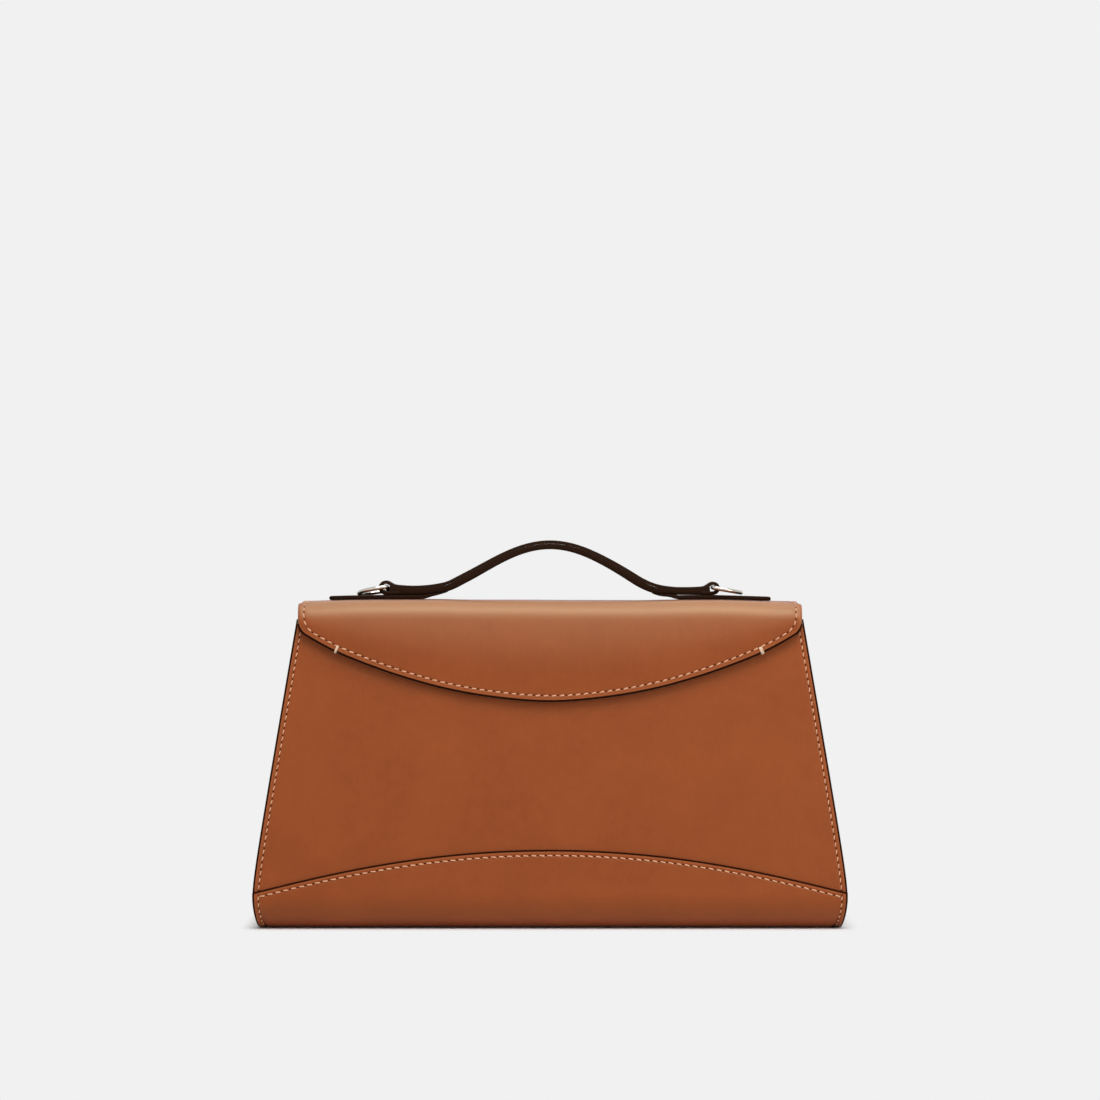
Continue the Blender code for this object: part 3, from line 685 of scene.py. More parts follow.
# %% Thread
def thread_finish(name, light, shade, gloss):
    finish = Finish(name)
    along, round_it, _ = finish.parts(finish.attribute("flat"))
    twist = ((along * 8.5 + round_it * (2 * math.pi)).cosine() + 1) * 0.5
    fibre = finish.noise(finish.attribute("flat"), 6.0, 3, 0.6)
    # Painted shade: the colour runs from shade to light over the twist, darker in the grooves between the
    # plies.
    skin = finish.tint(finish.between(twist, 0.0, 0.6) * 0.75 + fibre * 0.25, shade, light)
    relief = finish.bump(twist * 0.8 + fibre * 0.2, 0.00008, 0.8)
    return finish.surface(
        Base_Color=skin, Roughness=gloss + fibre * 0.1, Normal=relief, Specular_IOR_Level=0.2,
    )


peach_thread = thread_finish("peach_thread", colour(0.77, 0.43, 0.26), colour(0.56, 0.27, 0.14), 0.6)
cream_thread = thread_finish("cream_thread", colour(0.78, 0.6, 0.43), colour(0.55, 0.37, 0.23), 0.5)
dark_thread = thread_finish("dark_thread", colour(0.03, 0.015, 0.009), colour(0.014, 0.007, 0.004), 0.7)

# %% [markdown]
# ## Metal, board and magnets
#
# The rings are nickel, polished bright, with hairline scratches that change the gloss and hardly the relief.
# The boards and magnets are inside the leather and are only seen where a model is taken apart, but they get
# their own finishes too: pressed fibres for the board, and brushed grey steel for the magnets.

# %% Metal and board
def metal_finish(name, tone, low, high, scratch):
    finish = Finish(name)
    place = finish.node("ShaderNodeTexCoord", output="Object")
    fine = finish.noise(finish.stretch(place, (900, 900, 300)), 1.0, 4, 0.6)
    wide = finish.noise(finish.stretch(place, (120, 120, 120)), 1.0, 2, 0.5)
    rough = low + finish.between(fine, 0.5, 0.8) * high + finish.between(wide, 0.4, 0.7) * high
    relief = finish.bump(fine, scratch, 0.6)
    shaded = tuple(part * 0.86 for part in tone[:3]) + (1.0,)
    return finish.surface(
        Base_Color=finish.tint(wide, shaded, tone), Metallic=1.0, Roughness=rough, Normal=relief,
    )


def board_finish(name):
    finish = Finish(name)
    place = finish.node("ShaderNodeTexCoord", output="Object")
    fibres = finish.noise(finish.stretch(place, (1400, 500, 700)), 1.0, 5, 0.7, 0.6)
    skin = finish.tint(finish.between(fibres, 0.3, 0.7), colour(0.19, 0.12, 0.065), colour(0.33, 0.23, 0.14))
    return finish.surface(Base_Color=skin, Roughness=0.82 + fibres * 0.1, Normal=finish.bump(fibres, 0.00006))


nickel = metal_finish("polished_nickel", colour(0.62, 0.58, 0.52), 0.06, 0.06, 0.000004)
magnet_steel = metal_finish("magnet_steel", colour(0.5, 0.5, 0.5), 0.25, 0.12, 0.00001)
fibre_board = board_finish("fibre_board")
print("finishes:", len(bpy.data.materials))

# %% [markdown]
# ## Front and back panels
#
# Each wall is one piece of leather from the base bend to the mouth, 1.6 mm thick, glued over a board. A
# real panel is not a plane: it swells a little between its sewn sides. A relief function lifts it by less
# than a millimetre in the middle, which softens the light across it without changing the outline.

# %% Panels
PANEL_LEATHER = 1.6 * MM
FRONT_TOP = 148.07 * MM
BACK_TOP = 152.3 * MM
PANEL_FOOT = BEND_CENTRE_Y + BEND_RUN / 2
SEAM_INSET = 2.9 * MM
SIDE_PITCH = 3.4 * MM
EDGE_PITCH = 3.85 * MM
ARCH_HEIGHT = 38 * MM
ARCH_RADIUS = 465 * MM
ARCH_LIFTS = 2.05 * MM
ARCH_LIFT_FADES = 26 * MM


def always(value):
    return lambda x: value + 0 * np.asarray(x, dtype=float)


def side_seam(side, depth, start, end, face):
    """The row of stitches down one side of a wall."""
    runs = face * np.linspace(start, end, 90)
    edge = half_width(wall_point(runs, depth)[1])
    return Seam(np.column_stack([side * (edge - SEAM_INSET), runs]), SIDE_PITCH)


def swell(x, run, face):
    """How far a wall stands in from its crowned middle. Negative is outwards."""
    climbed = np.clip((np.abs(run) - WALL_RUN) / (120 * MM), 0, 1)
    across = np.clip(1 - (x / (BODY_WIDTH / 2)) ** 2, 0, 1)
    wave = 0.12 * np.sin(x / (31 * MM) + run / (47 * MM))
    wave = wave + 0.08 * np.sin(x / (17 * MM) - run / (23 * MM) + face)
    return -MM * across * (0.35 + wave) * np.sin(math.pi * climbed)


walls = {}
for name, face, top in (("front", FRONT, FRONT_TOP), ("back", BACK, BACK_TOP)):
    top_run = run_to(top, PANEL_DEPTH)
    seams = [
        side_seam(side, PANEL_DEPTH, PANEL_FOOT + 4 * MM, top_run - 2 * MM, face) for side in SIDES.values()
    ]
    mouth_half = half_width(top) - 2 * SEAM_INSET
    mouth = face * (top_run - SEAM_INSET)
    seams.append(Seam([(-mouth_half, mouth), (mouth_half, mouth)], EDGE_PITCH))
    low, high = sorted((face * PANEL_FOOT, face * top_run))
    shape = (lambda run: half_width(wall_point(run, PANEL_DEPTH)[1]), always(low), always(high))
    panel = hide(
        name + "_panel_leather", shape, lambda x, run, edge: body_place(x, run, PANEL_DEPTH), PANEL_LEATHER,
        [tan_leather, flesh], seams, relief=lambda x, run, face=face: swell(x, run, face), flip=True,
    )
    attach(panel, "bag_body")
    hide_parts(name + "_panel")
    walls[name] = seams

# %% [markdown]
# ## Base panel
#
# One long piece wraps under the base and ends in a shallow arch on the front and on the back. It is sewn
# over the panels, so its painted edge and its groove show as a curved line across the bag. At the bottom
# corners the side seam pulls the leather in, which leaves a small notch in the outline.

# %% Base panel
BASE_LEATHER = 1.5 * MM
NOTCH_OFFSET = 3.6 * MM
NOTCH_WIDTH = 1.1 * MM
NOTCH_DEPTH = 0.8 * MM
CORNER_HEIGHT = 14 * MM


def arch_run(x):
    """Run of the base panel's arched edge, which flattens out a little at the corners."""
    across = np.minimum(np.abs(x), BODY_WIDTH / 2)
    lift = ARCH_LIFTS * np.exp((across - BODY_WIDTH / 2) / ARCH_LIFT_FADES)
    return run_at_height(ARCH_HEIGHT - ARCH_RADIUS + np.sqrt(ARCH_RADIUS**2 - across**2) + lift)


def arch_seam(face):
    x = np.linspace(-1, 1, 160) * (half_width(CORNER_HEIGHT) - SEAM_INSET)
    return Seam(np.column_stack([x, face * (arch_run(x) - SEAM_INSET)]), EDGE_PITCH)


def base_relief(x, run):
    """The side seams pull in round the bend, and the wall swells a little above it."""
    edge = half_width(wall_point(run, 0)[1]) - np.abs(x)
    below = 1 - ease((np.abs(run) - BEND_CENTRE_Y - BEND_RUN * 0.35) / (12 * MM))
    pulled = NOTCH_DEPTH * below * np.exp(-(((edge - NOTCH_OFFSET) / NOTCH_WIDTH) ** 2))
    return pulled + swell(x, run, 0) * 0.5


def base_half(run):
    return half_width(wall_point(run, 0)[1])


runs = np.linspace(-1, 1, 240) * (float(arch_run(half_width(CORNER_HEIGHT))) - 1.2 * MM)
base_seams = [arch_seam(FRONT), arch_seam(BACK)]
for side in SIDES.values():
    base_seams.append(Seam(np.column_stack([side * (base_half(runs) - SEAM_INSET), runs]), SIDE_PITCH))
base_panel = hide(
    "base_panel_leather", (base_half, lambda x: -arch_run(x), arch_run),
    lambda x, run, edge: body_place(x, run, 0.0), BASE_LEATHER, [tan_leather, flesh], base_seams,
    step=(3.2 * MM, 2 * MM), crown=0.9 * MM, under=0.5 * MM, relief=base_relief, flip=True,
)
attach(base_panel, "bag_body")
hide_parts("base_panel")

# %% [markdown]
# ## Gussets
#
# A gusset is the soft side wall. Near the base it stands straight, and towards the mouth it folds inwards
# so that the bag can close to a narrow top. Its flange turns out and is sewn between the panels' edges. The
# sheet is a web inside a U, with a small round bend where the flange leaves it, so it is drawn as a web
# grid and a U-shaped strip.

# %% Gussets
GUSSET_LEATHER = 1.4 * MM
GUSSET_TOP = 145.57 * MM
FLANGE_WIDTH = 6.5 * MM
FOLD_DEPTH = 10 * MM
FOLD_START = 50 * MM
GUSSET_BEND = 2.4 * MM
WEB_DEPTH = FLANGE_DEPTH + GUSSET_BEND
WEB_COLUMNS = 33
FLANGE_STATIONS = np.array([1.8, 0.8, 0.45, 0.2, 0.06, 0.0]) * MM
WELL_INSIDE = 9 * MM


def web_x(share, z):
    """Inner face of the web: share is 0 in its middle and 1 at the flanges."""
    rise = np.clip((z - FOLD_START) / (GUSSET_TOP - FOLD_START), 0, 1)
    return half_width(z) - FLANGE_WIDTH - FOLD_DEPTH * rise**2 * np.cos(math.pi / 2 * np.abs(share)) ** 2


def flange(loop_run):
    """The strip round the web: its rows of points, and each row's distance from the cut edge."""
    corner_x = web_x(1.0, wall_point(loop_run, WEB_DEPTH)[1])
    out_to = half_width(wall_point(loop_run, FLANGE_DEPTH)[1])
    rows = []
    for turn in np.linspace(0, math.pi / 2, 5)[1:]:
        depth = FLANGE_DEPTH + GUSSET_BEND * (1 - math.sin(turn))
        x = corner_x + GUSSET_BEND * (1 - math.cos(turn))
        rows.append((laid(x, *wall_point(loop_run, depth)), WELL_INSIDE))
    for left in FLANGE_STATIONS:
        x = np.maximum(out_to - left, corner_x + GUSSET_BEND)
        rows.append((laid(x, *wall_point(loop_run, FLANGE_DEPTH)), left))
    return rows


def vertex_normals(points, faces):
    """Unit normals of points, from the quads around them."""
    corners = points[faces]
    diagonals = np.cross(corners[:, 2] - corners[:, 0], corners[:, 3] - corners[:, 1])
    normal = np.zeros_like(points)
    for corner in range(4):
        np.add.at(normal, faces[:, corner], diagonals)
    return unit(normal)


def gusset(name, side):
    """One gusset, drawn for the right side and mirrored for the left."""
    top_run = float(run_to(GUSSET_TOP, FLANGE_DEPTH))
    below_top = stations(top_run - BEND_CENTRE_Y, 3 * MM, PLAIN_STATIONS)
    runs = np.concatenate([[BEND_CENTRE_Y], BEND_CENTRE_Y + below_top[below_top > 1.2 * MM]])
    share = np.linspace(-1, 1, WEB_COLUMNS)
    seam_y, z = (values[:, None] for values in wall_point(runs, WEB_DEPTH))
    web = laid(web_x(share, z), seam_y * share, z).reshape(-1, 3)
    index = np.arange(len(web)).reshape(len(runs), WEB_COLUMNS)
    loop = np.concatenate([index[::-1, 0], index[0, 1:-1], index[:, -1]])
    loop_run = np.concatenate([-runs[::-1], web[index[0, 1:-1], 1], runs])
    rows = flange(loop_run)
    strip = np.concatenate([row for row, _ in rows])
    rings = np.vstack([loop, len(web) + np.arange(len(strip)).reshape(len(rows), len(loop))])
    quads = np.stack([rings[:-1, :-1], rings[1:, :-1], rings[1:, 1:], rings[:-1, 1:]], axis=-1).reshape(-1, 4)
    faces = np.concatenate([grid_faces(*index.shape), quads])
    points = np.concatenate([web, strip])
    edge = np.append(np.full(len(web), WELL_INSIDE), np.repeat([left for _, left in rows], len(loop)))
    run = np.append(np.repeat(runs, WEB_COLUMNS), np.tile(np.abs(loop_run), len(rows)))
    edge = np.minimum(edge, np.maximum(top_run - run, 0))
    normal = vertex_normals(points, faces)
    outwards = 1 if normal[index[len(runs) // 2, WEB_COLUMNS // 2], 0] > 0 else -1
    normal = normal * outwards
    if outwards > 0:
        faces = faces[:, ::-1]
    rounding = GUSSET_LEATHER / 2
    face = points + normal * drop(edge, rounding, rounding)[:, None]
    back = points + normal * (GUSSET_LEATHER - drop(edge, rounding, rounding))[:, None]
    rim_points = np.unique(np.concatenate([index[-1], rings[-1], rings[:, 0], rings[:, -1]]))
    for array in (face, back):
        array[:, 0] *= side
    if side < 0:
        faces = faces[:, ::-1]
    flat = np.concatenate([
        laid(np.tile(share, len(runs)) * 30, np.repeat(runs, WEB_COLUMNS) / MM, 0),
        laid(strip[:, 0] / MM, np.tile(loop_run, len(rows)) / MM, 0),
    ])
    seam = laid(0, FAR_AWAY / MM, edge / MM)
    return close_layers(name, face, back, rim_points, faces, [flesh, tan_leather], flat, seam)


for name, side in SIDES.items():
    made = gusset(f"gusset_{name}_leather", side)
    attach(made, "bag_body")
    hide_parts("gusset_" + name)
    print(made.name, "faces:", len(made.data.polygons))

# %% [markdown]
# ## Linings
#
# The suede runs in one piece down the front, over the base and up the back, and each gusset has its own. At
# the mouth the lining closes on the panel, so no board shows.

# %% Linings
LINING = 0.9 * MM
MOUTH_CLOSES_OVER = 4 * MM
JOINS_PANEL = 3.35 * MM


def lining_place(x, run, edge):
    """The lining keeps its depth and comes forward to the panel at the mouth."""
    top_run = np.where(run < 0, run_to(FRONT_TOP, LINING_DEPTH), run_to(BACK_TOP, LINING_DEPTH))
    share = ease((top_run - np.abs(run)) / MOUTH_CLOSES_OVER)
    return body_place(x, run, JOINS_PANEL + (LINING_DEPTH - JOINS_PANEL) * share)


def lining_half(run):
    """Room between the gussets for the lining."""
    z = wall_point(run, LINING_DEPTH + LINING)[1]
    y = np.abs(wall_point(run, LINING_DEPTH + LINING)[0])
    seam_y = np.abs(wall_point(run, FLANGE_DEPTH)[0])
    return web_x(np.clip(y / np.maximum(seam_y, MM), 0, 1), z) - 0.2 * MM


lining = hide(
    "body_lining_suede",
    (lining_half, always(-run_to(FRONT_TOP, LINING_DEPTH)), always(run_to(BACK_TOP, LINING_DEPTH))),
    lining_place, LINING, [suede_back, suede], step=(5 * MM, 2.6 * MM), near=PLAIN_STATIONS, flip=True,
)
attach(lining, "bag_body")
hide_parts("body_lining")


def gusset_lining_place(side):
    """A gusset's lining follows the inside of its web."""
    def place(share, run, edge):
        seam_y, z = wall_point(run, SIDE_LINING_DEPTH)
        outer_y = wall_point(run, FLANGE_DEPTH)[0]
        across = share / (100 * MM)
        x = web_x(across * seam_y / outer_y, z) - 0.6 * MM
        return laid(side * x, seam_y * across, z)
    return place


for name, side in SIDES.items():
    made = hide(
        f"gusset_lining_{name}_suede",
        (always(100 * MM), always(BEND_CENTRE_Y), always(float(run_to(GUSSET_TOP, SIDE_LINING_DEPTH)))),
        gusset_lining_place(side), LINING, [suede_back, suede], step=(5 * MM, 3 * MM), near=PLAIN_STATIONS,
        flip=side < 0,
    )
    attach(made, "bag_body")
    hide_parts("gusset_lining_" + name)

# %% [markdown]
# ## Slip pocket
#
# A flat pocket of the same suede is sewn on three sides to the back wall's lining. Its lower corners could be
# square, but square corners of thin suede curl, so they are round, and the seam follows them.

# %% Slip pocket
POCKET_WIDTH = 150 * MM
POCKET_TOP = 124 * MM
POCKET_DROP = 84 * MM
POCKET_CORNER = 12 * MM
POCKET_SEAM_INSET = 2 * MM


def round_corner(x, half, radius):
    """How far a rounded corner has risen at x."""
    past = np.clip(np.abs(x) - (half - radius), 0, radius)
    return radius - np.sqrt(radius**2 - past**2)


pocket_low = float(run_to(POCKET_TOP - POCKET_DROP, POCKET_DEPTH))
pocket_high = float(run_to(POCKET_TOP, POCKET_DEPTH))
inset_half = POCKET_WIDTH / 2 - POCKET_SEAM_INSET
turn = np.linspace(0, math.pi / 2, 12)
seam_radius = POCKET_CORNER - POCKET_SEAM_INSET
right_side = np.column_stack([
    np.append(inset_half - seam_radius + seam_radius * np.sin(turn), inset_half),
    np.append(pocket_low + POCKET_SEAM_INSET + seam_radius * (1 - np.cos(turn)), pocket_high - MM),
])
pocket_seam = Seam(np.concatenate([right_side[::-1] * (-1, 1), right_side]), SIDE_PITCH)
pocket = hide(
    "slip_pocket_leather",
    (always(POCKET_WIDTH / 2), lambda x: pocket_low + round_corner(x, POCKET_WIDTH / 2, POCKET_CORNER),
     always(pocket_high)),
    lambda x, run, edge: body_place(x, run, POCKET_DEPTH), LINING, [suede_back, suede], [pocket_seam],
    step=(4 * MM, 4 * MM), near=EDGE_STATIONS[:11], flip=True,
)
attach(pocket, "bag_body")
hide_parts("slip_pocket")

# %% [markdown]
# ## The flap
#
# One leather does three jobs: its tail is sewn to the back, its middle is the top of the bag, and its front
# falls over the mouth and ends in a wide curve. It is drawn as one piece, because the real one is one
# piece. Near the cut edge its lining comes up to the leather, where the two are sewn together; the
# leather's edge is painted.

# %% Flap profile
FLAP_WIDTH = 243.2 * MM
FLAP_LOW = 108.4 * MM
FLAP_EDGE_RADIUS = 226 * MM
FLAP_CORNER = 7 * MM
FLAP_BEND = 8 * MM
FLAP_LEATHER = 1.5 * MM
FLAP_LINING_DEPTH = 3.1 * MM
FLAP_STANDS_OUT = 2.7 * MM
TAIL_LENGTH = 28 * MM
TAIL_BEND = 4 * MM
TAIL_CORNER = 5 * MM

flap_half = FLAP_WIDTH / 2
lean_gap = (1 - math.sin(LEAN)) / math.cos(LEAN)
tail_centre_y = TOP_DEPTH / 2 - TAIL_BEND * lean_gap
tail_centre_z = BODY_HEIGHT - TAIL_BEND
tail_foot_run = float(run_to(tail_centre_z + TAIL_BEND * math.sin(LEAN)))
bend_centre_y = FLAP_BEND * lean_gap - TOP_DEPTH / 2 - FLAP_STANDS_OUT / math.cos(LEAN)
bend_centre_z = BODY_HEIGHT - FLAP_BEND
bend_foot = BODY_HEIGHT - FLAP_BEND * (1 - math.sin(LEAN))
quarter = math.pi / 2 - LEAN
top_starts = TAIL_LENGTH + TAIL_BEND * quarter
bend_starts = top_starts + tail_centre_y - bend_centre_y
front_starts = bend_starts + FLAP_BEND * quarter
print("the flap bends from", round(bend_starts / MM, 1), "to", round(front_starts / MM, 1))


def flap_profile(run, depth):
    """(y, z) from the tail's lower end, over the hinge and the top, and down the front."""
    on_tail = np.minimum(run, TAIL_LENGTH)
    tail_y, tail_z = wall_point(tail_foot_run - TAIL_LENGTH + on_tail, depth)
    turned = LEAN + np.clip((run - TAIL_LENGTH) / TAIL_BEND, 0, quarter)
    round_y = tail_centre_y + (TAIL_BEND - depth) * np.cos(turned)
    round_z = tail_centre_z + (TAIL_BEND - depth) * np.sin(turned)
    on_top = np.clip(run - top_starts, 0, bend_starts - top_starts)
    over = np.clip((run - bend_starts) / FLAP_BEND, 0, quarter)
    fallen = np.maximum(run - front_starts, 0)
    front_y = tail_centre_y - on_top - (FLAP_BEND - depth) * np.sin(over) - fallen * math.sin(LEAN)
    front_z = bend_centre_z + (FLAP_BEND - depth) * np.cos(over) - fallen * math.cos(LEAN)
    y = np.where(run < TAIL_LENGTH, tail_y, np.where(run < top_starts, round_y, front_y))
    z = np.where(run < TAIL_LENGTH, tail_z, np.where(run < top_starts, round_z, front_z))
    return y, z


# %% [markdown]
# ## The flap's outline
#
# The lower edge is one wide arc with a small round corner at each side. A cut by hand isn't a true arc, so a
# small correction lifts it half way out and lowers it near the corners. The stitch line repeats the outline
# further in.

# %% Flap outline
edge_centre = FLAP_LOW + FLAP_EDGE_RADIUS
corner_x = flap_half - FLAP_CORNER
corner_z = edge_centre - math.sqrt((FLAP_EDGE_RADIUS - FLAP_CORNER) ** 2 - corner_x**2)
corner_swing = math.asin(corner_x / (FLAP_EDGE_RADIUS - FLAP_CORNER))


def front_run(height):
    """Run at which the flap's front reaches a height."""
    return front_starts + (bend_foot - height) / math.cos(LEAN)


def edge_sag(x):
    """How far the real edge hangs below a true arc. Half way out it lies above the arc."""
    out = np.abs(x) / MM
    half_way = ease(out / 30) * ease((88 - out) / 26)
    return MM * (1.35 * ease((out - 80) / 32) - 0.45 * half_way)


def flap_edge(x):
    """Run of the lower edge: a wide arc, then a small round corner at each side."""
    across = np.minimum(np.abs(x), flap_half)
    wide = edge_centre - np.sqrt(FLAP_EDGE_RADIUS**2 - across**2)
    small = corner_z - np.sqrt(np.maximum(FLAP_CORNER**2 - np.maximum(across - corner_x, 0) ** 2, 0))
    on_corner = across > FLAP_EDGE_RADIUS * math.sin(corner_swing)
    return front_run(np.where(on_corner, small, wide) - edge_sag(across))


def flap_path(inset, corner):
    """A stitch line inside the edge, from the middle of the tail once round, with its own front corners."""
    radius, half = FLAP_EDGE_RADIUS - inset, flap_half - inset
    middle_x = half - corner
    middle_z = edge_centre - math.sqrt((radius - corner) ** 2 - middle_x**2)
    swing = math.asin(middle_x / (radius - corner))
    wide = np.linspace(0, swing, 70)
    small = np.linspace(swing, math.pi / 2, 16)[1:]
    x = np.concatenate([radius * np.sin(wide), middle_x + corner * np.sin(small)])
    height = np.concatenate([edge_centre - radius * np.cos(wide), middle_z - corner * np.cos(small)])
    height = height - edge_sag(x)
    tail = np.linspace(0, math.pi / 2, 8)
    tail_x = flap_half - TAIL_CORNER + (TAIL_CORNER - inset) * np.cos(tail)
    tail_run = TAIL_CORNER - (TAIL_CORNER - inset) * np.sin(tail)
    runs = np.concatenate([front_run(height), tail_run, [inset]])
    right = np.column_stack([np.concatenate([x, tail_x, [0]]), runs])
    return np.concatenate([right[:0:-1] * (-1, 1), right])


print("the corners begin at", round(corner_x / MM, 1), "mm from the middle")

# %% [markdown]
# ## The flap's relief
#
# Leather over a board is never flat. The flap stands out below its bend, its margins droop past the board,
# and the top sinks between and outside the handle's feet. Each is a function of the place on the flat
# pattern, and together they give the depth at which the face lies.

# %% Flap relief
BULGE_SLOPE = 0.15
BULGE_FADES = 0.22
BULGE_STARTS = 7 * MM
DROOP = 0.6 * MM
DROOP_WIDTH = 7 * MM


def flap_bulge(x, run):
    """After the bend the leather stands out a little, and it returns to the panel at its edge."""
    length = np.maximum(flap_edge(x) - front_starts, 4 * MM)
    below = run - front_starts
    fades = BULGE_FADES * length
    risen = BULGE_STARTS * 0.45
    nearing = 1 + below / BULGE_STARTS
    rises = np.where(
        below < 0, ease(nearing) * risen * np.clip(nearing, 0, 1),
        risen + fades * (1 - np.exp(-np.maximum(below, 0) / fades)),
    )
    returns = 1 - ease((below - 0.35 * length) / (0.6 * length))
    return BULGE_SLOPE * rises * returns


def flap_droop(x, run):
    """Past the boards the margins at the sides of the top hang down a little."""
    past = np.clip(1 - (flap_half - np.abs(x)) / DROOP_WIDTH, 0, 1)
    on_top = ease((run - top_starts - 4 * MM) / (16 * MM))
    return DROOP * past**2 * on_top * (1 - ease((run - front_starts + 2 * MM) / (9 * MM)))


TOP_LINE = np.array([
    (-122, 1.1), (-116, 1.1), (-112, 0.85), (-107, 0.5), (-96, 0.25), (-80, 0), (-52, 0), (-42, 0.3),
    (-8, 0.38), (8, 0.55), (46, 0.6), (56, 0.35), (66, 0.15), (80, 0.05), (96, 0.5), (108, 0.9), (116, 1.4),
    (122, 1.5),
]) * MM
line_x = np.linspace(-124, 124, 497) * MM
smoothing = np.hanning(23) / np.hanning(23).sum()
line_sinks = np.convolve(np.pad(np.interp(line_x, *TOP_LINE.T), 11, "edge"), smoothing, "valid")


def top_sinks(x):
    """How far the top hangs below its highest line: between the handle's feet, and past them."""
    return np.interp(x, line_x, line_sinks)


def flap_waves(x, run):
    """The top sinks along its own line, and the front has slow waves across it."""
    on_front = np.clip((run - bend_starts) / (20 * MM), 0, 1)
    on_top = ease((run - top_starts + 5 * MM) / (6 * MM))
    on_top = on_top * (1 - ease((run - bend_starts - 4 * MM) / (11 * MM)))
    narrow = 0.025 * np.sin(x / (7.5 * MM) + 2 * np.sin(run / (19 * MM)))
    wide = 0.05 * np.sin(x / (19 * MM) + run / (31 * MM))
    return top_sinks(x) * on_top + MM * on_front * (narrow + wide)


def flap_thickness(x, run):
    """Over the boards the leather is thinner where its face sinks, and it is skived along the hinge."""
    skived = 0.35 * MM * np.exp(-(((run - top_starts - 6 * MM) / (12 * MM)) ** 2))
    sunk = np.minimum(top_sinks(x), 0.9 * MM) * ease((front_starts - run) / (6 * MM))
    return np.maximum(FLAP_LEATHER - skived - sunk, 0.5 * MM)


def flap_place(x, run, edge=None):
    y, z = flap_profile(run, flap_droop(x, run) + flap_waves(x, run) - flap_bulge(x, run))
    return laid(x, y, z)


print("the top sinks by up to", round(line_sinks.max() / MM, 2), "mm")

# %% [markdown]
# ## The flap's leather
#
# The leather is laid in one piece along the flap's profile, from the tail over the hinge and the top to the
# cut edge, and takes the place of the frame's outer flap and its tail.

# %% Flap leather
FLAP_SEAM_INSET = 3 * MM
FLAP_SEAM_CORNER = 10 * MM
FLAP_SEAM = Seam(flap_path(FLAP_SEAM_INSET, FLAP_SEAM_CORNER), EDGE_PITCH)
flap_shape = (always(flap_half), lambda x: round_corner(x, flap_half, TAIL_CORNER), flap_edge)
flap = hide(
    "flap_leather", flap_shape, flap_place, flap_thickness, [tan_flap, flesh], [FLAP_SEAM],
    step=(3 * MM, 1.7 * MM), crown=1.5 * MM, under=0.3 * MM, flip=True,
)
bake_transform(flap)
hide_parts("flap_outer", "flap_tail")

# %% [markdown]
# ## Flap lining
#
# The lining climbs from inside the back wall, turns under the hinge and follows the flap to its edge. It
# could stop at the hinge, but then the back wall's board would show when the flap is open.

# %% Flap lining
LINING_TURN = 4.5 * MM
LINING_DROP = 13 * MM
SEWN_DEPTH = 1.58 * MM
EDGE_CLOSES_OVER = 6 * MM
inside_wall_y = float(wall_point(run_to(148 * MM), 6.15 * MM)[0])
lining_starts = LINING_DROP + LINING_TURN * math.pi / 2
lining_offset = lining_starts - top_starts - tail_centre_y + inside_wall_y - LINING_TURN


def flap_lining_place(x, run, edge):
    """Up the inside of the back wall, over to the flap, and under it to the edge."""
    low_z = BODY_HEIGHT - FLAP_LINING_DEPTH - LINING_TURN
    up = np.minimum(run, LINING_DROP)
    turned = np.clip((run - LINING_DROP) / LINING_TURN, 0, math.pi / 2)
    rear_y = inside_wall_y - LINING_TURN * (1 - np.cos(turned)) + (LINING_DROP - up) * math.sin(LEAN)
    rear_z = low_z - (LINING_DROP - up) + LINING_TURN * np.sin(turned)
    joined = ease((edge - 1.2 * MM) / EDGE_CLOSES_OVER)
    along = run - lining_offset
    past_board = ease((np.abs(x) - 108 * MM) / (8 * MM))
    depth = SEWN_DEPTH + (FLAP_LINING_DEPTH - SEWN_DEPTH) * joined
    depth = depth + flap_droop(x, along) + flap_waves(x, along) * past_board
    y, z = flap_profile(np.maximum(along, top_starts), depth)
    on_flap = run > lining_starts
    return laid(x, np.where(on_flap, y, rear_y), np.where(on_flap, z, rear_z))


lining_seam_path = flap_path(FLAP_SEAM_INSET, FLAP_SEAM_CORNER) + (0, lining_offset)
lining_seam_path = lining_seam_path[lining_seam_path[:, 1] > LINING_DROP + 9 * MM]
LINING_SEAM = Seam(lining_seam_path, EDGE_PITCH)
flap_lining = hide(
    "flap_lining_suede", (always(flap_half), always(0.0), lambda x: flap_edge(x) + lining_offset),
    flap_lining_place, LINING, [suede_back, suede], [LINING_SEAM], step=(4 * MM, 1.8 * MM), flip=True,
)
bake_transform(flap_lining)
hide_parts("flap_lining")

# %% [markdown]
# ## Handle
#
# The handle is a strap of two plies with rounded, painted edges, bent into a low arch. At each end the
# upper ply goes round the bar of a D ring and comes back under. From the front mainly its edge is seen, so
# the plies meet with sharp inner corners and rounded outer ones and look like one thick edge, as the real
# strap does.

# %% Handle profile
STRAP_WIDTH = 15 * MM
UPPER_PLY = 1.6 * MM
LOWER_PLY = 2.56 * MM
STRAP_SEAT = 2.4 * MM
UPPER_SEAT = 2.6 * MM
ARCH_RISE = 22.2 * MM
ARCH_HALF_SPAN = 64 * MM
SEATED = 0.15 * MM
RING_X = 79.2 * MM
RING_HEIGHT = STRAP_SEAT + 3.45 * MM
LOOPS = {"left": (79.9 * MM, 3.5 * MM), "right": (79.4 * MM, 3.22 * MM)}
LAP_X = 73.5 * MM
LOOP_TURN = math.radians(60)


def bump(out, middle, width):
    """A smooth bump around a distance from the middle of the bag, both in mm."""
    return np.exp(-(((out / MM - middle) / width) ** 2))


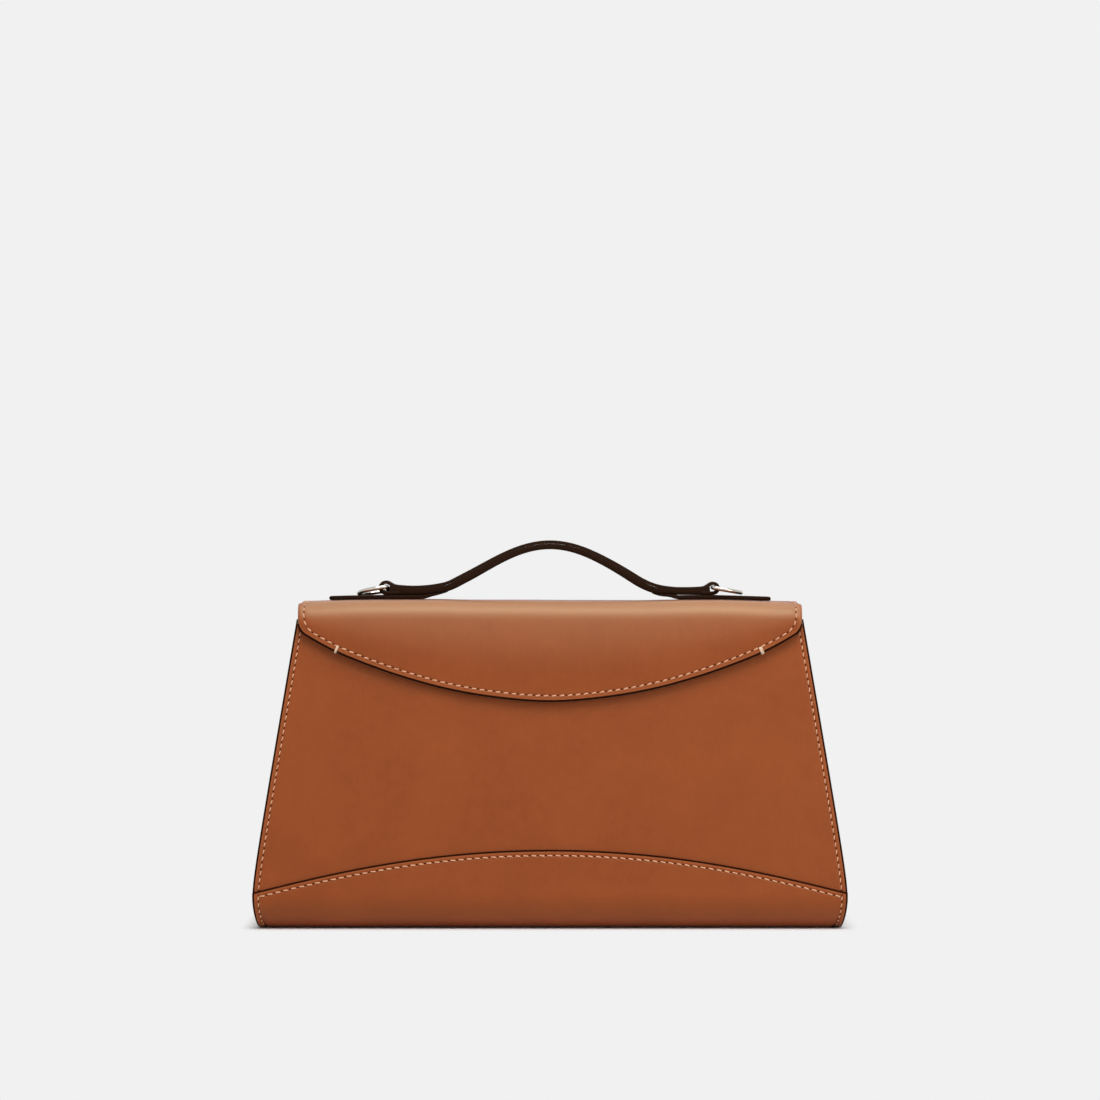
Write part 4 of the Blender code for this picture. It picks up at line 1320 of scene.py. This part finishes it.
def foot_shift(x):
    """The two feet of the strap aren't alike: the right one comes down lower and further in."""
    out = np.abs(x)
    left = 0.2 * bump(out, 61, 5) + 0.5 * bump(out, 75, 5) - 0.45 * bump(out, 48.5, 4.5)
    right = 0.3 * bump(out, 75, 4) - 1.1 * bump(out, 46, 8) - 0.6 * ease((out - 44 * MM) / (12 * MM))
    return MM * np.where(x < 0, left, right)


def handle_point(x, above):
    """(x, z) at a height above the underside of the strap."""
    phase = math.pi * np.minimum(np.abs(x) / ARCH_HALF_SPAN, 1)
    rise = ARCH_RISE * (1 + np.cos(phase)) / 2 + foot_shift(x)
    slope = -np.sign(x) * ARCH_RISE * math.pi / ARCH_HALF_SPAN * np.sin(phase) / 2
    length = np.hypot(1, slope)
    return x - above * slope / length, BODY_HEIGHT + STRAP_SEAT + rise + above / length


def ply_half(name):
    """Centre line of one half of the upper ply: the arch, a ramp, round the ring's bar and back under."""
    side = SIDES[name]
    loop_x, loop_radius = LOOPS[name]
    radius = loop_radius - UPPER_PLY / 2
    centre = np.array([loop_x, BODY_HEIGHT + STRAP_SEAT - SEATED + loop_radius])
    arch_x = side * np.linspace(0, LAP_X, 160)
    arch = np.column_stack(handle_point(arch_x, UPPER_SEAT + UPPER_PLY / 2)) * (side, 1)
    start = arch[-1]
    ahead = (start - arch[-3]) / np.linalg.norm(start - arch[-3])
    angle = math.pi - LOOP_TURN
    meet = centre + radius * np.array([math.cos(angle), math.sin(angle)])
    into = np.array([math.sin(angle), -math.cos(angle)])
    reach = (meet[0] - start[0]) / 2
    first, second = start + ahead * reach, meet - into * reach
    share = np.linspace(0, 1, 16)[:-1, None]
    left = 1 - share
    ramp = left**3 * start + 3 * left**2 * share * first + 3 * left * share**2 * second + share**3 * meet
    turned = angle - (angle + math.pi / 2) * np.linspace(0, 1, 40)
    bow = centre + radius * np.column_stack([np.cos(turned), np.sin(turned)])
    back = np.column_stack([np.linspace(loop_x, LAP_X + 0.05 * MM, 8)[1:], np.full(7, bow[-1, 1])])
    return np.concatenate([arch[:-1], ramp, bow, back])


left_half = ply_half("left")[:0:-1] * (-1, 1)
ply_path = np.concatenate([left_half, ply_half("right")])
ply_run = np.concatenate([[0], np.cumsum(np.hypot(*np.diff(ply_path, axis=0).T))])
ply_run = ply_run - ply_run[len(left_half)]
ply_along = unit(np.gradient(ply_path, ply_run, axis=0))
ply_face = ply_path + np.column_stack([-ply_along[:, 1], ply_along[:, 0]]) * UPPER_PLY / 2


def ply_place(across, run, edge=None):
    x, z = (np.interp(run, ply_run, ply_face[:, axis]) for axis in (0, 1))
    return laid(x, across, z)


def lower_place(across, run, edge=None):
    x, z = handle_point(run, LOWER_PLY)
    return laid(x, across, z)


def lower_thickness(across, run):
    """The underside is thicker on the slopes, and lies flat on the tab at the feet."""
    out = np.abs(run)
    seated = ease((out - 52 * MM) / (8 * MM))
    return LOWER_PLY + SEATED + foot_shift(run) * seated + 0.5 * MM * bump(out, 44, 16) * (1 - seated)


print("length of the upper ply in mm:", round((ply_run[-1] - ply_run[0]) / MM))

# %% [markdown]
# ## The strap's plies
#
# The upper ply is cut longer than the lower one by the two loops. Both are painted at the edge. The seam runs
# down both sides of the upper ply and stops before it goes round the bar.

# %% Handle leather
STRAP_SEAM_INSET = 2.2 * MM
STRAP_PITCH = 3.1 * MM
strap_half = STRAP_WIDTH / 2
loop_run = float(ply_run[-1] - 17.5 * MM)
seam_across = strap_half - STRAP_SEAM_INSET
strap_seams = [
    Seam([(side * seam_across, -loop_run), (side * seam_across, loop_run)], STRAP_PITCH)
    for side in SIDES.values()
]
upper_ply = hide(
    "handle_upper_ply", (always(strap_half), always(float(ply_run[0])), always(float(ply_run[-1]))),
    ply_place, UPPER_PLY, [dark_leather, dark_flesh], strap_seams, step=(3 * MM, 0.9 * MM),
    near=EDGE_STATIONS[[0, 1, 2, 3, 4, 5, 6, 8, 10, 12]], crown=0.75 * MM, under=0.12 * MM, flip=True,
)
lower_reach = LAP_X + 1.6 * MM
lower_ply = hide(
    "handle_lower_ply", (always(strap_half - 0.03 * MM), always(-lower_reach), always(lower_reach)),
    lower_place, lower_thickness, [dark_leather], step=(3 * MM, 1.2 * MM), near=EDGE_STATIONS[:8],
    crown=0.12 * MM, under=0.95 * MM, flip=True,
)
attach(upper_ply, "flap")
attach(lower_ply, "flap")
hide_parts("handle_strap")
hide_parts("handle_core", "handle_lining")

# %% [markdown]
# ## Loop fillers
#
# Between the ply that comes down the ramp and the end that comes back under it, each loop would be hollow. A
# small wedge of leather fills it and keeps the loop tight round the bar. The ramp's own line is its upper
# face.

# %% Loop fillers
FILLER_CLEAR = {"left": 0.15 * MM, "right": 0.05 * MM}
FILLER_LOW = BODY_HEIGHT + STRAP_SEAT - SEATED + UPPER_PLY + 0.02 * MM
filler_starts = LAP_X + 0.05 * MM
under_ply = ply_face - np.column_stack([-ply_along[:, 1], ply_along[:, 0]]) * UPPER_PLY
for name, side in SIDES.items():
    filler_ends = LOOPS[name][0] - LOOPS[name][1] + UPPER_PLY + FILLER_CLEAR[name]
    outward = (under_ply * (side, 1))[::side]
    on_ramp = (outward[:, 0] > LAP_X - 1 * MM) & (outward[:, 1] > FILLER_LOW + 0.3 * MM)
    ramp = outward[on_ramp & ((ply_run * side)[::side] > 0)]
    ramp = ramp[: int(ramp[:, 0].argmax()) + 1]
    filler = hide(
        f"handle_filler_{name}", (always(strap_half - 0.1 * MM), always(filler_starts), always(filler_ends)),
        lambda across, x, edge, side=side: laid(side * x, across, FILLER_LOW),
        lambda across, x, ramp=ramp: np.interp(x, *ramp.T) - FILLER_LOW - 0.02 * MM,
        [dark_leather], step=(1.5 * MM, 0.5 * MM), near=EDGE_STATIONS[:6],
        crown=0.15 * MM, under=0.3 * MM, flip=side < 0,
    )
    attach(filler, "flap")

# %% [markdown]
# ## Tabs
#
# A tab of the same leather lies under each end of the strap. It spreads the pull of the handle over the
# flap and keeps the ring from marking the calf. Its outer end is cut with round corners.

# %% Tabs
TAB_THICKNESS = 2 * MM
TAB_WIDTH = 16 * MM
TAB_INNER_X = 50 * MM
TAB_OUTER_X = 107.6 * MM
TAB_CORNER = 5 * MM
TAB_SEAM_INSET = 2 * MM
TAB_TOP = BODY_HEIGHT + 0.2 * MM + TAB_THICKNESS
tab_half = TAB_WIDTH / 2


def tab_place(side):
    """A tab lies on the flap, and its thin inner end follows the strap's underside up the slope."""
    under_run = side * np.linspace(44 * MM, 64 * MM, 81)
    under_x, under_z = handle_point(under_run, LOWER_PLY - lower_thickness(0, under_run))

    def place(across, run, edge=None):
        lying = TAB_TOP - top_sinks(side * run)
        following = np.maximum(lying, np.interp(run, side * under_x, under_z) - 0.03 * MM)
        return laid(side * run, across, np.where(run < 62 * MM, following, lying))
    return place


def tab_thickness(across, run):
    """The inner end of a tab is skived thin."""
    return np.interp(run / MM, [50, 52, 55, 58, 61], [0.3, 0.5, 1.0, 1.3, TAB_THICKNESS / MM]) * MM


turn = np.linspace(0, math.pi / 2, 8)
tab_radius = TAB_CORNER - TAB_SEAM_INSET
tab_corner = np.column_stack([np.sin(turn), np.cos(turn)]) * tab_radius
tab_corner = tab_corner + (tab_half - TAB_CORNER, TAB_OUTER_X - TAB_CORNER)
tab_right = np.concatenate([tab_corner, [(tab_half - TAB_SEAM_INSET, TAB_INNER_X + TAB_SEAM_INSET)]])
tab_seam = Seam(np.concatenate([tab_right[::-1] * (-1, 1), tab_right]), STRAP_PITCH)
for name, side in SIDES.items():
    tab = hide(
        f"handle_tab_{name}_leather",
        (always(tab_half), always(TAB_INNER_X),
         lambda x: TAB_OUTER_X - round_corner(x, tab_half, TAB_CORNER)),
        tab_place(side), tab_thickness, [dark_leather], [tab_seam], step=(2 * MM, 2 * MM),
        near=EDGE_STATIONS[:12], flip=side > 0,
    )
    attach(tab, "flap")
    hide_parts("handle_tab_" + name)

# %% [markdown]
# ## D rings
#
# A D ring is bent from one wire and brazed at the bar. It hangs loosely in its loop, so it never lies quite
# square: each bow hangs a little lower than its bar, and the left ring also rolls, which shows both of its
# arms. The wire is swept along the line by hand, because a curve with a bevel depth twists at the small
# corners.

# %% Rings
RING_WIRE = 1 * MM
RING_HALF_WIDTH = 9.2 * MM
RING_REACH = 14.2 * MM
RING_CORNER = 2 * MM
RING_LEANS = {"left": np.radians((9.4, -6.5)), "right": np.radians((10.0, -0.6))}
RING_LIFT = {"left": -0.5 * MM, "right": -0.08 * MM}


def ring_path():
    """The ring in its own plane: a bar at x = 0 and a bow that reaches out along x."""
    corner_y, bow_x = RING_HALF_WIDTH - RING_CORNER, RING_REACH - RING_HALF_WIDTH
    bar = [(0.0, y) for y in np.linspace(0, corner_y, 6)[:-1]]
    corner = [(RING_CORNER * (1 - math.cos(a)), corner_y + RING_CORNER * math.sin(a))
              for a in np.linspace(0, math.pi / 2, 9)]
    bow = [(bow_x + RING_HALF_WIDTH * math.sin(a), RING_HALF_WIDTH * math.cos(a))
           for a in np.linspace(0, math.pi / 2, 25)]
    half = np.array(bar + corner + bow)
    return np.concatenate([half, (half * (1, -1))[-2:0:-1]])


def sweep_ring(name, side):
    path = ring_path()
    along = unit(np.roll(path, -1, axis=0) - np.roll(path, 1, axis=0))
    out = np.column_stack([along[:, 1], -along[:, 0], np.zeros(len(path))])
    turns = np.linspace(0, 2 * math.pi, 20, endpoint=False)
    centre = np.column_stack([path, np.zeros(len(path))])
    points = centre[:, None] + RING_WIRE * (
        np.cos(turns)[None, :, None] * out[:, None] + np.sin(turns)[None, :, None] * np.array([0, 0, 1.0])
    )
    tilt, roll = RING_LEANS[name]
    x, y, z = points[..., 0], points[..., 1], points[..., 2]
    y, z = y * math.cos(roll) - z * math.sin(roll), y * math.sin(roll) + z * math.cos(roll)
    x, z = x * math.cos(tilt) + z * math.sin(tilt), z * math.cos(tilt) - x * math.sin(tilt)
    place = np.stack([side * (RING_X + x), y, BODY_HEIGHT + RING_HEIGHT + RING_LIFT[name] + z], axis=-1)
    index = np.arange(points.shape[0] * points.shape[1]).reshape(points.shape[:2])
    following, beside = np.roll(index, -1, axis=0), np.roll(index, -1, axis=1)
    faces = np.stack([index, following, np.roll(following, -1, axis=1), beside], axis=-1).reshape(-1, 4)
    if side < 0:
        faces = faces[:, ::-1]
    return add_mesh(f"d_ring_{name}", place.reshape(-1, 3), faces, [nickel])


for name, side in SIDES.items():
    ring = sweep_ring(name, side)
    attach(ring, name + "_ring")
    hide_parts("ring_" + name)

# %% [markdown]
# ## Thread
#
# Each stitch is a short piece of thread that comes out of one hole, lies on the groove and goes down the
# next. Hand sewing slants it a little across the line. All the stitches of one piece are one mesh, made in
# one pass over arrays, so hundreds of them cost little time. A stitch is laid by the same function as its
# leather.

# %% Stitches
STITCH_STATIONS = np.array([-1, -0.93, -0.75, -0.4, 0, 0.4, 0.75, 0.93, 1])
STITCH_SIDES = 8


def tube(centre, aside, up, thick, along, first=0, squash=1.0, flip=False):
    """Thread along rows of points: its points, its faces, and its length and angle for the finish."""
    turns = np.linspace(0, 2 * math.pi, STITCH_SIDES, endpoint=False)
    ring = np.cos(turns)[:, None] * aside[..., None, :] + squash * np.sin(turns)[:, None] * up[..., None, :]
    shell = centre[..., None, :] + ring * np.reshape(thick, (-1, 1, 1))
    index = first + np.arange(shell.size // 3).reshape(shell.shape[:3])
    beside = np.roll(index, -1, axis=2)
    sides = np.stack([index[:, :-1], index[:, 1:], beside[:, 1:], beside[:, :-1]], axis=-1).reshape(-1, 4)
    ends = np.concatenate([index[:, 0], index[:, -1, ::-1]])
    if flip:
        sides, ends = sides[:, [0, 3, 2, 1]], ends[:, ::-1]
    faces = sides.tolist() + ends.tolist()
    flat = laid(np.asarray(along)[:, None] / MM, turns / (2 * math.pi), np.zeros(shell.shape[:3]))
    return shell.reshape(-1, 3), faces, flat.reshape(-1, 3)


# %% [markdown]
# ## Sewing
#
# A seam knows how many stitches it holds. For each, the centre line of the thread is laid on the leather,
# raised in its middle and sunk at both ends.

# %% Sewing
def sew(name, place, seams, thread, radius, share=0.66, slant=0.12, flip=False, above=0.0):
    """Thread along the seams of a piece, as one mesh."""
    points, faces, flats = [], [], []
    for seam in seams:
        middle = (np.arange(seam.count) + 0.5)[:, None] * seam.pitch
        half = share * seam.pitch / 2
        along = middle + half * STITCH_STATIONS[None, :]
        flat = seam.at(along)
        ahead = unit(seam.at(np.minimum(middle + 0.2 * MM, seam.travelled[-1])) - seam.at(middle - 0.2 * MM))
        sideways = np.stack([-ahead[..., 1], ahead[..., 0]], axis=-1)
        flat = flat + sideways * (half * STITCH_STATIONS * slant)[None, :, None]
        x, run = flat[..., 0], flat[..., 1]
        far = np.full(x.shape, FAR_AWAY)
        base = place(x, run, far)
        normal = sheet_normals(place, x, run, far) * (-1 if flip else 1)
        aside = np.cross(unit(np.gradient(base, axis=1)), normal)
        dive = np.abs(STITCH_STATIONS) ** 4
        height = above - GROOVE_DEPTH + radius * (0.8 - 1.15 * dive)
        thick = radius * (1 - 0.45 * np.abs(STITCH_STATIONS) ** 3)
        first = sum(len(block) for block in points)
        shell, quads, flat = tube(
            base + normal * height[:, None], aside, normal, thick, half * STITCH_STATIONS, first, squash=0.85,
        )
        points.append(shell)
        faces += quads
        flats.append(flat)
    made = add_mesh(name, np.concatenate(points), faces, [thread], flat=np.concatenate(flats))
    print(name, "stitches:", sum(seam.count for seam in seams))
    return made


EDGE_THREAD = 0.36 * MM
SIDE_THREAD = 0.3 * MM
STRAP_THREAD = 0.24 * MM


# %% [markdown]
# ## The seams
#
# Thread follows the face that it is sewn through: on the body the wall with its relief, and on the flap and
# the strap the same function that laid the leather.

# %% Seams with thread
def wall_surface(relief, depth):
    """The face of a wall, with its relief, as a place for thread."""
    def place(x, run, edge=None):
        points = body_place(x, run, depth)
        inwards = (body_place(x, run, depth + MM) - points) / MM
        return points + inwards * relief(x, run)[..., None]
    return place


for name, face in (("front", FRONT), ("back", BACK)):
    made = sew(
        name + "_panel_stitches", wall_surface(lambda x, run, face=face: swell(x, run, face), PANEL_DEPTH),
        walls[name], peach_thread, SIDE_THREAD, share=0.62, slant=0.2, flip=True,
    )
    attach(made, "bag_body")
base_surface = wall_surface(base_relief, 0.0)
made = sew("base_arch_stitches", base_surface, base_seams[:2], peach_thread, EDGE_THREAD, flip=True)
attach(made, "bag_body")
made = sew(
    "base_side_stitches", base_surface, base_seams[2:], peach_thread, SIDE_THREAD,
    share=0.55, slant=0.2, flip=True,
)
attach(made, "bag_body")
made = sew(
    "flap_stitches", flap_place, [FLAP_SEAM], peach_thread, EDGE_THREAD,
    share=0.62, slant=-0.14, flip=True, above=-0.1 * MM,
)
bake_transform(made)
made = sew(
    "flap_lining_stitches",
    lambda x, run, edge: flap_lining_place(x, run, np.full(np.shape(x), SEAM_INSET)),
    [LINING_SEAM], peach_thread,
    EDGE_THREAD, share=0.6, above=LINING + GROOVE_DEPTH,
)
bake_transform(made)
made = sew(
    "pocket_stitches", lambda x, run, edge: body_place(x, run, POCKET_DEPTH + LINING), [pocket_seam],
    peach_thread, SIDE_THREAD, above=GROOVE_DEPTH,
)
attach(made, "bag_body")
made = sew("handle_stitches", ply_place, strap_seams, dark_thread, STRAP_THREAD, flip=True, above=-0.17 * MM)
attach(made, "flap")
for name, side in SIDES.items():
    made = sew(
        f"handle_tab_{name}_stitches", tab_place(side), [tab_seam], dark_thread, STRAP_THREAD,
        flip=side > 0, above=-0.17 * MM,
    )
    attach(made, "flap")

# %% [markdown]
# ## Bar tacks
#
# Two bar tacks hold the flap's leather and its lining together where the hand pulls: a few turns of cream
# thread from the seam over the cut edge and back to the seam on the inside. Each turn is a tube along one
# path of distances from the edge and depths below the face.

# %% Bar tacks
TACK_X = {"left": -103.4 * MM, "right": 102.4 * MM}
TACK_TURNS = {-1: (3, 0.32 * MM), 1: (4, 0.36 * MM)}
TACK_THREAD = 0.25 * MM
TACK_PATH = np.array([
    (3.1, 0.4), (2.95, -0.05), (2.4, -0.24), (1.5, -0.25), (0.7, -0.15), (0.1, 0.15), (-0.22, 0.7),
    (-0.28, 1.5), (-0.2, 2.2), (0.2, 2.6), (0.9, 2.72), (2.3, 2.7), (2.95, 2.5), (3.1, 2.0),
]) * MM


def bar_tack(name, side):
    """One bar tack, as one mesh of all its turns."""
    nudge = 0.05 * MM
    edge_x = TACK_X[name]
    along = unit(np.array([2 * nudge, flap_edge(edge_x + nudge) - flap_edge(edge_x - nudge)]))
    inward = np.array([along[1], -along[0]])
    turns, spacing = TACK_TURNS[side]
    offsets = (np.arange(turns) - (turns - 1) / 2) * spacing
    flat = np.array([edge_x, float(flap_edge(edge_x))]) + offsets[:, None, None] * along
    flat = flat + TACK_PATH[None, :, :1] * inward
    x, run = flat[..., 0], flat[..., 1]
    base = flap_place(x, run)
    centre = base + sheet_normals(flap_place, x, run, None) * TACK_PATH[None, :, 1:]
    aside = unit(flap_place(x + nudge * along[0], run + nudge * along[1]) - base)
    up = np.cross(unit(np.gradient(centre, axis=1)), aside)
    points, faces, flats = tube(centre, aside, up, TACK_THREAD, TACK_PATH[:, 0], flip=True)
    return add_mesh(f"bar_tack_{name}", points, faces, [cream_thread], flat=flats)


for name, side in SIDES.items():
    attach(bar_tack(name, side), "flap")

# %% [markdown]
# ## Inner pieces
#
# The boards and magnets of the frame are hidden inside the leather. They keep their own shape and only get
# a procedural finish.

# %% Boards and magnets
for name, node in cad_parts.items():
    inner = fibre_board if name.endswith("_board") else magnet_steel if "magnet" in name else None
    if inner is not None:
        for place in node.material_slots:
            place.material = inner
        print(name, "is finished as", inner.name)

# %% [markdown]
# ## Floor, light and background
#
# A large soft light hangs above the bag, a little to the right, and lights the rounded top. The bright band
# along it is partly this light's gloss and partly a highlight painted into the flap's leather along the bend.
# Two more, from the front right and more weakly from the front left, open the shadows, and the sky fills the
# rest evenly. The background must be one flat pale grey, so the sky shows that grey to the camera and to
# mirrors. The floor is real near the bag, where it takes the contact shadow, and a centimetre out it has
# become the same grey.

# %% Studio
GREY = colour(0.879, 0.879, 0.879)
SKY_FILL = 0.3
FLOOR_TONE = 0.86
FLOOR_SIZE = 12
SHADOW_BOX = (0.138, 0.038, 0)
SHADOW_FAR = 0.012


def soft_light(name, place, aim, size, power):
    """A rectangular lamp, turned so that its own -Z points at what it lights."""
    lamp = bpy.data.lights.new(name, "AREA")
    lamp.shape = "RECTANGLE"
    lamp.size, lamp.size_y = size
    lamp.energy = power
    made = bpy.data.objects.new(name, lamp)
    made.location = place
    x, y, z = np.array(aim) - np.array(place)
    made.rotation_euler = (math.atan2(math.hypot(x, y), -z), 0, math.atan2(x, -y) + math.pi)
    bpy.context.scene.collection.objects.link(made)


soft_light("light_above", (0.14, -0.6, 1.13), (0.0, 0, 0.13), (1.0, 0.75), 12.7)
soft_light("light_right", (1.5, -1.6, 0.7), (0, 0, 0.08), (1, 1), 10)
soft_light("light_left", (-1.5, -1.6, 0.7), (0, 0, 0.08), (1, 1), 1.2)

world = bpy.data.worlds.new("studio")
bpy.context.scene.world = world
world.use_nodes = True
world.node_tree.nodes.clear()
sky = Network(world.node_tree)
rays = sky.tree.nodes.new("ShaderNodeLightPath").outputs
seen, mirrored, through = (Wire(sky, rays[f"Is {kind} Ray"]) for kind in ("Camera", "Glossy", "Transmission"))
seen = seen.maths("MAXIMUM", seen, mirrored)
seen = seen.maths("MAXIMUM", seen, through)
fill = sky.node("ShaderNodeBackground", inputs={"Color": colour(1, 1, 1), "Strength": SKY_FILL})
plain = sky.node("ShaderNodeBackground", inputs={"Color": GREY})
mix = sky.node("ShaderNodeMixShader", inputs={0: seen, 1: fill, 2: plain})
sky.plug(sky.tree.nodes.new("ShaderNodeOutputWorld").inputs["Surface"], mix)

floor_finish = Finish("studio_floor")
beyond = floor_finish.node("ShaderNodeTexCoord", output="Object")
for operation, other in (("ABSOLUTE", {}), ("SUBTRACT", {1: SHADOW_BOX}), ("MAXIMUM", {1: (0, 0, 0)})):
    beyond = floor_finish.node("ShaderNodeVectorMath", {"operation": operation}, {0: beyond, **other})
radius = floor_finish.node("ShaderNodeVectorMath", {"operation": "LENGTH"}, {0: beyond}, "Value")
rays = floor_finish.node("ShaderNodeLightPath", output="Is Camera Ray")
mirror = floor_finish.node("ShaderNodeLightPath", output="Is Glossy Ray")
flat_grey = floor_finish.between(radius, 0.0, SHADOW_FAR) * (rays + mirror)
floor_finish.surface(
    Base_Color=colour(FLOOR_TONE, FLOOR_TONE, FLOOR_TONE), Roughness=0.9, Specular_IOR_Level=0.1,
)
glow = floor_finish.node("ShaderNodeEmission", inputs={"Color": GREY, "Strength": 1.0})
blend = floor_finish.node("ShaderNodeMixShader", inputs={
    0: flat_grey, 1: Wire(floor_finish, floor_finish.shader.outputs[0]), 2: glow,
})
floor_finish.plug(floor_finish.tree.nodes["Material Output"].inputs["Surface"], blend)
corners = [(-1, -1), (1, -1), (1, 1), (-1, 1)]
floor = add_mesh(
    "studio_floor", [(x * FLOOR_SIZE, y * FLOOR_SIZE, -0.0002) for x, y in corners], [(0, 1, 2, 3)],
    [floor_finish.material],
)
floor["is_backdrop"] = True
bpy.context.scene.view_settings.view_transform = "Standard"
print("lamps:", len(bpy.data.lights))

# %% [markdown]
# ## Sizes
#
# The dressed bag has to be as large as its frame. Both boxes are kept side by side, so that the two can be
# compared.

# %% Sizes and finish
visual_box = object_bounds()
sizes = {"cad": [list(corner) for corner in cad_box], "visual": [list(corner) for corner in visual_box]}
for label, (low, high) in sizes.items():
    print(label, [round((b - a) / MM, 1) for a, b in zip(low, high)])
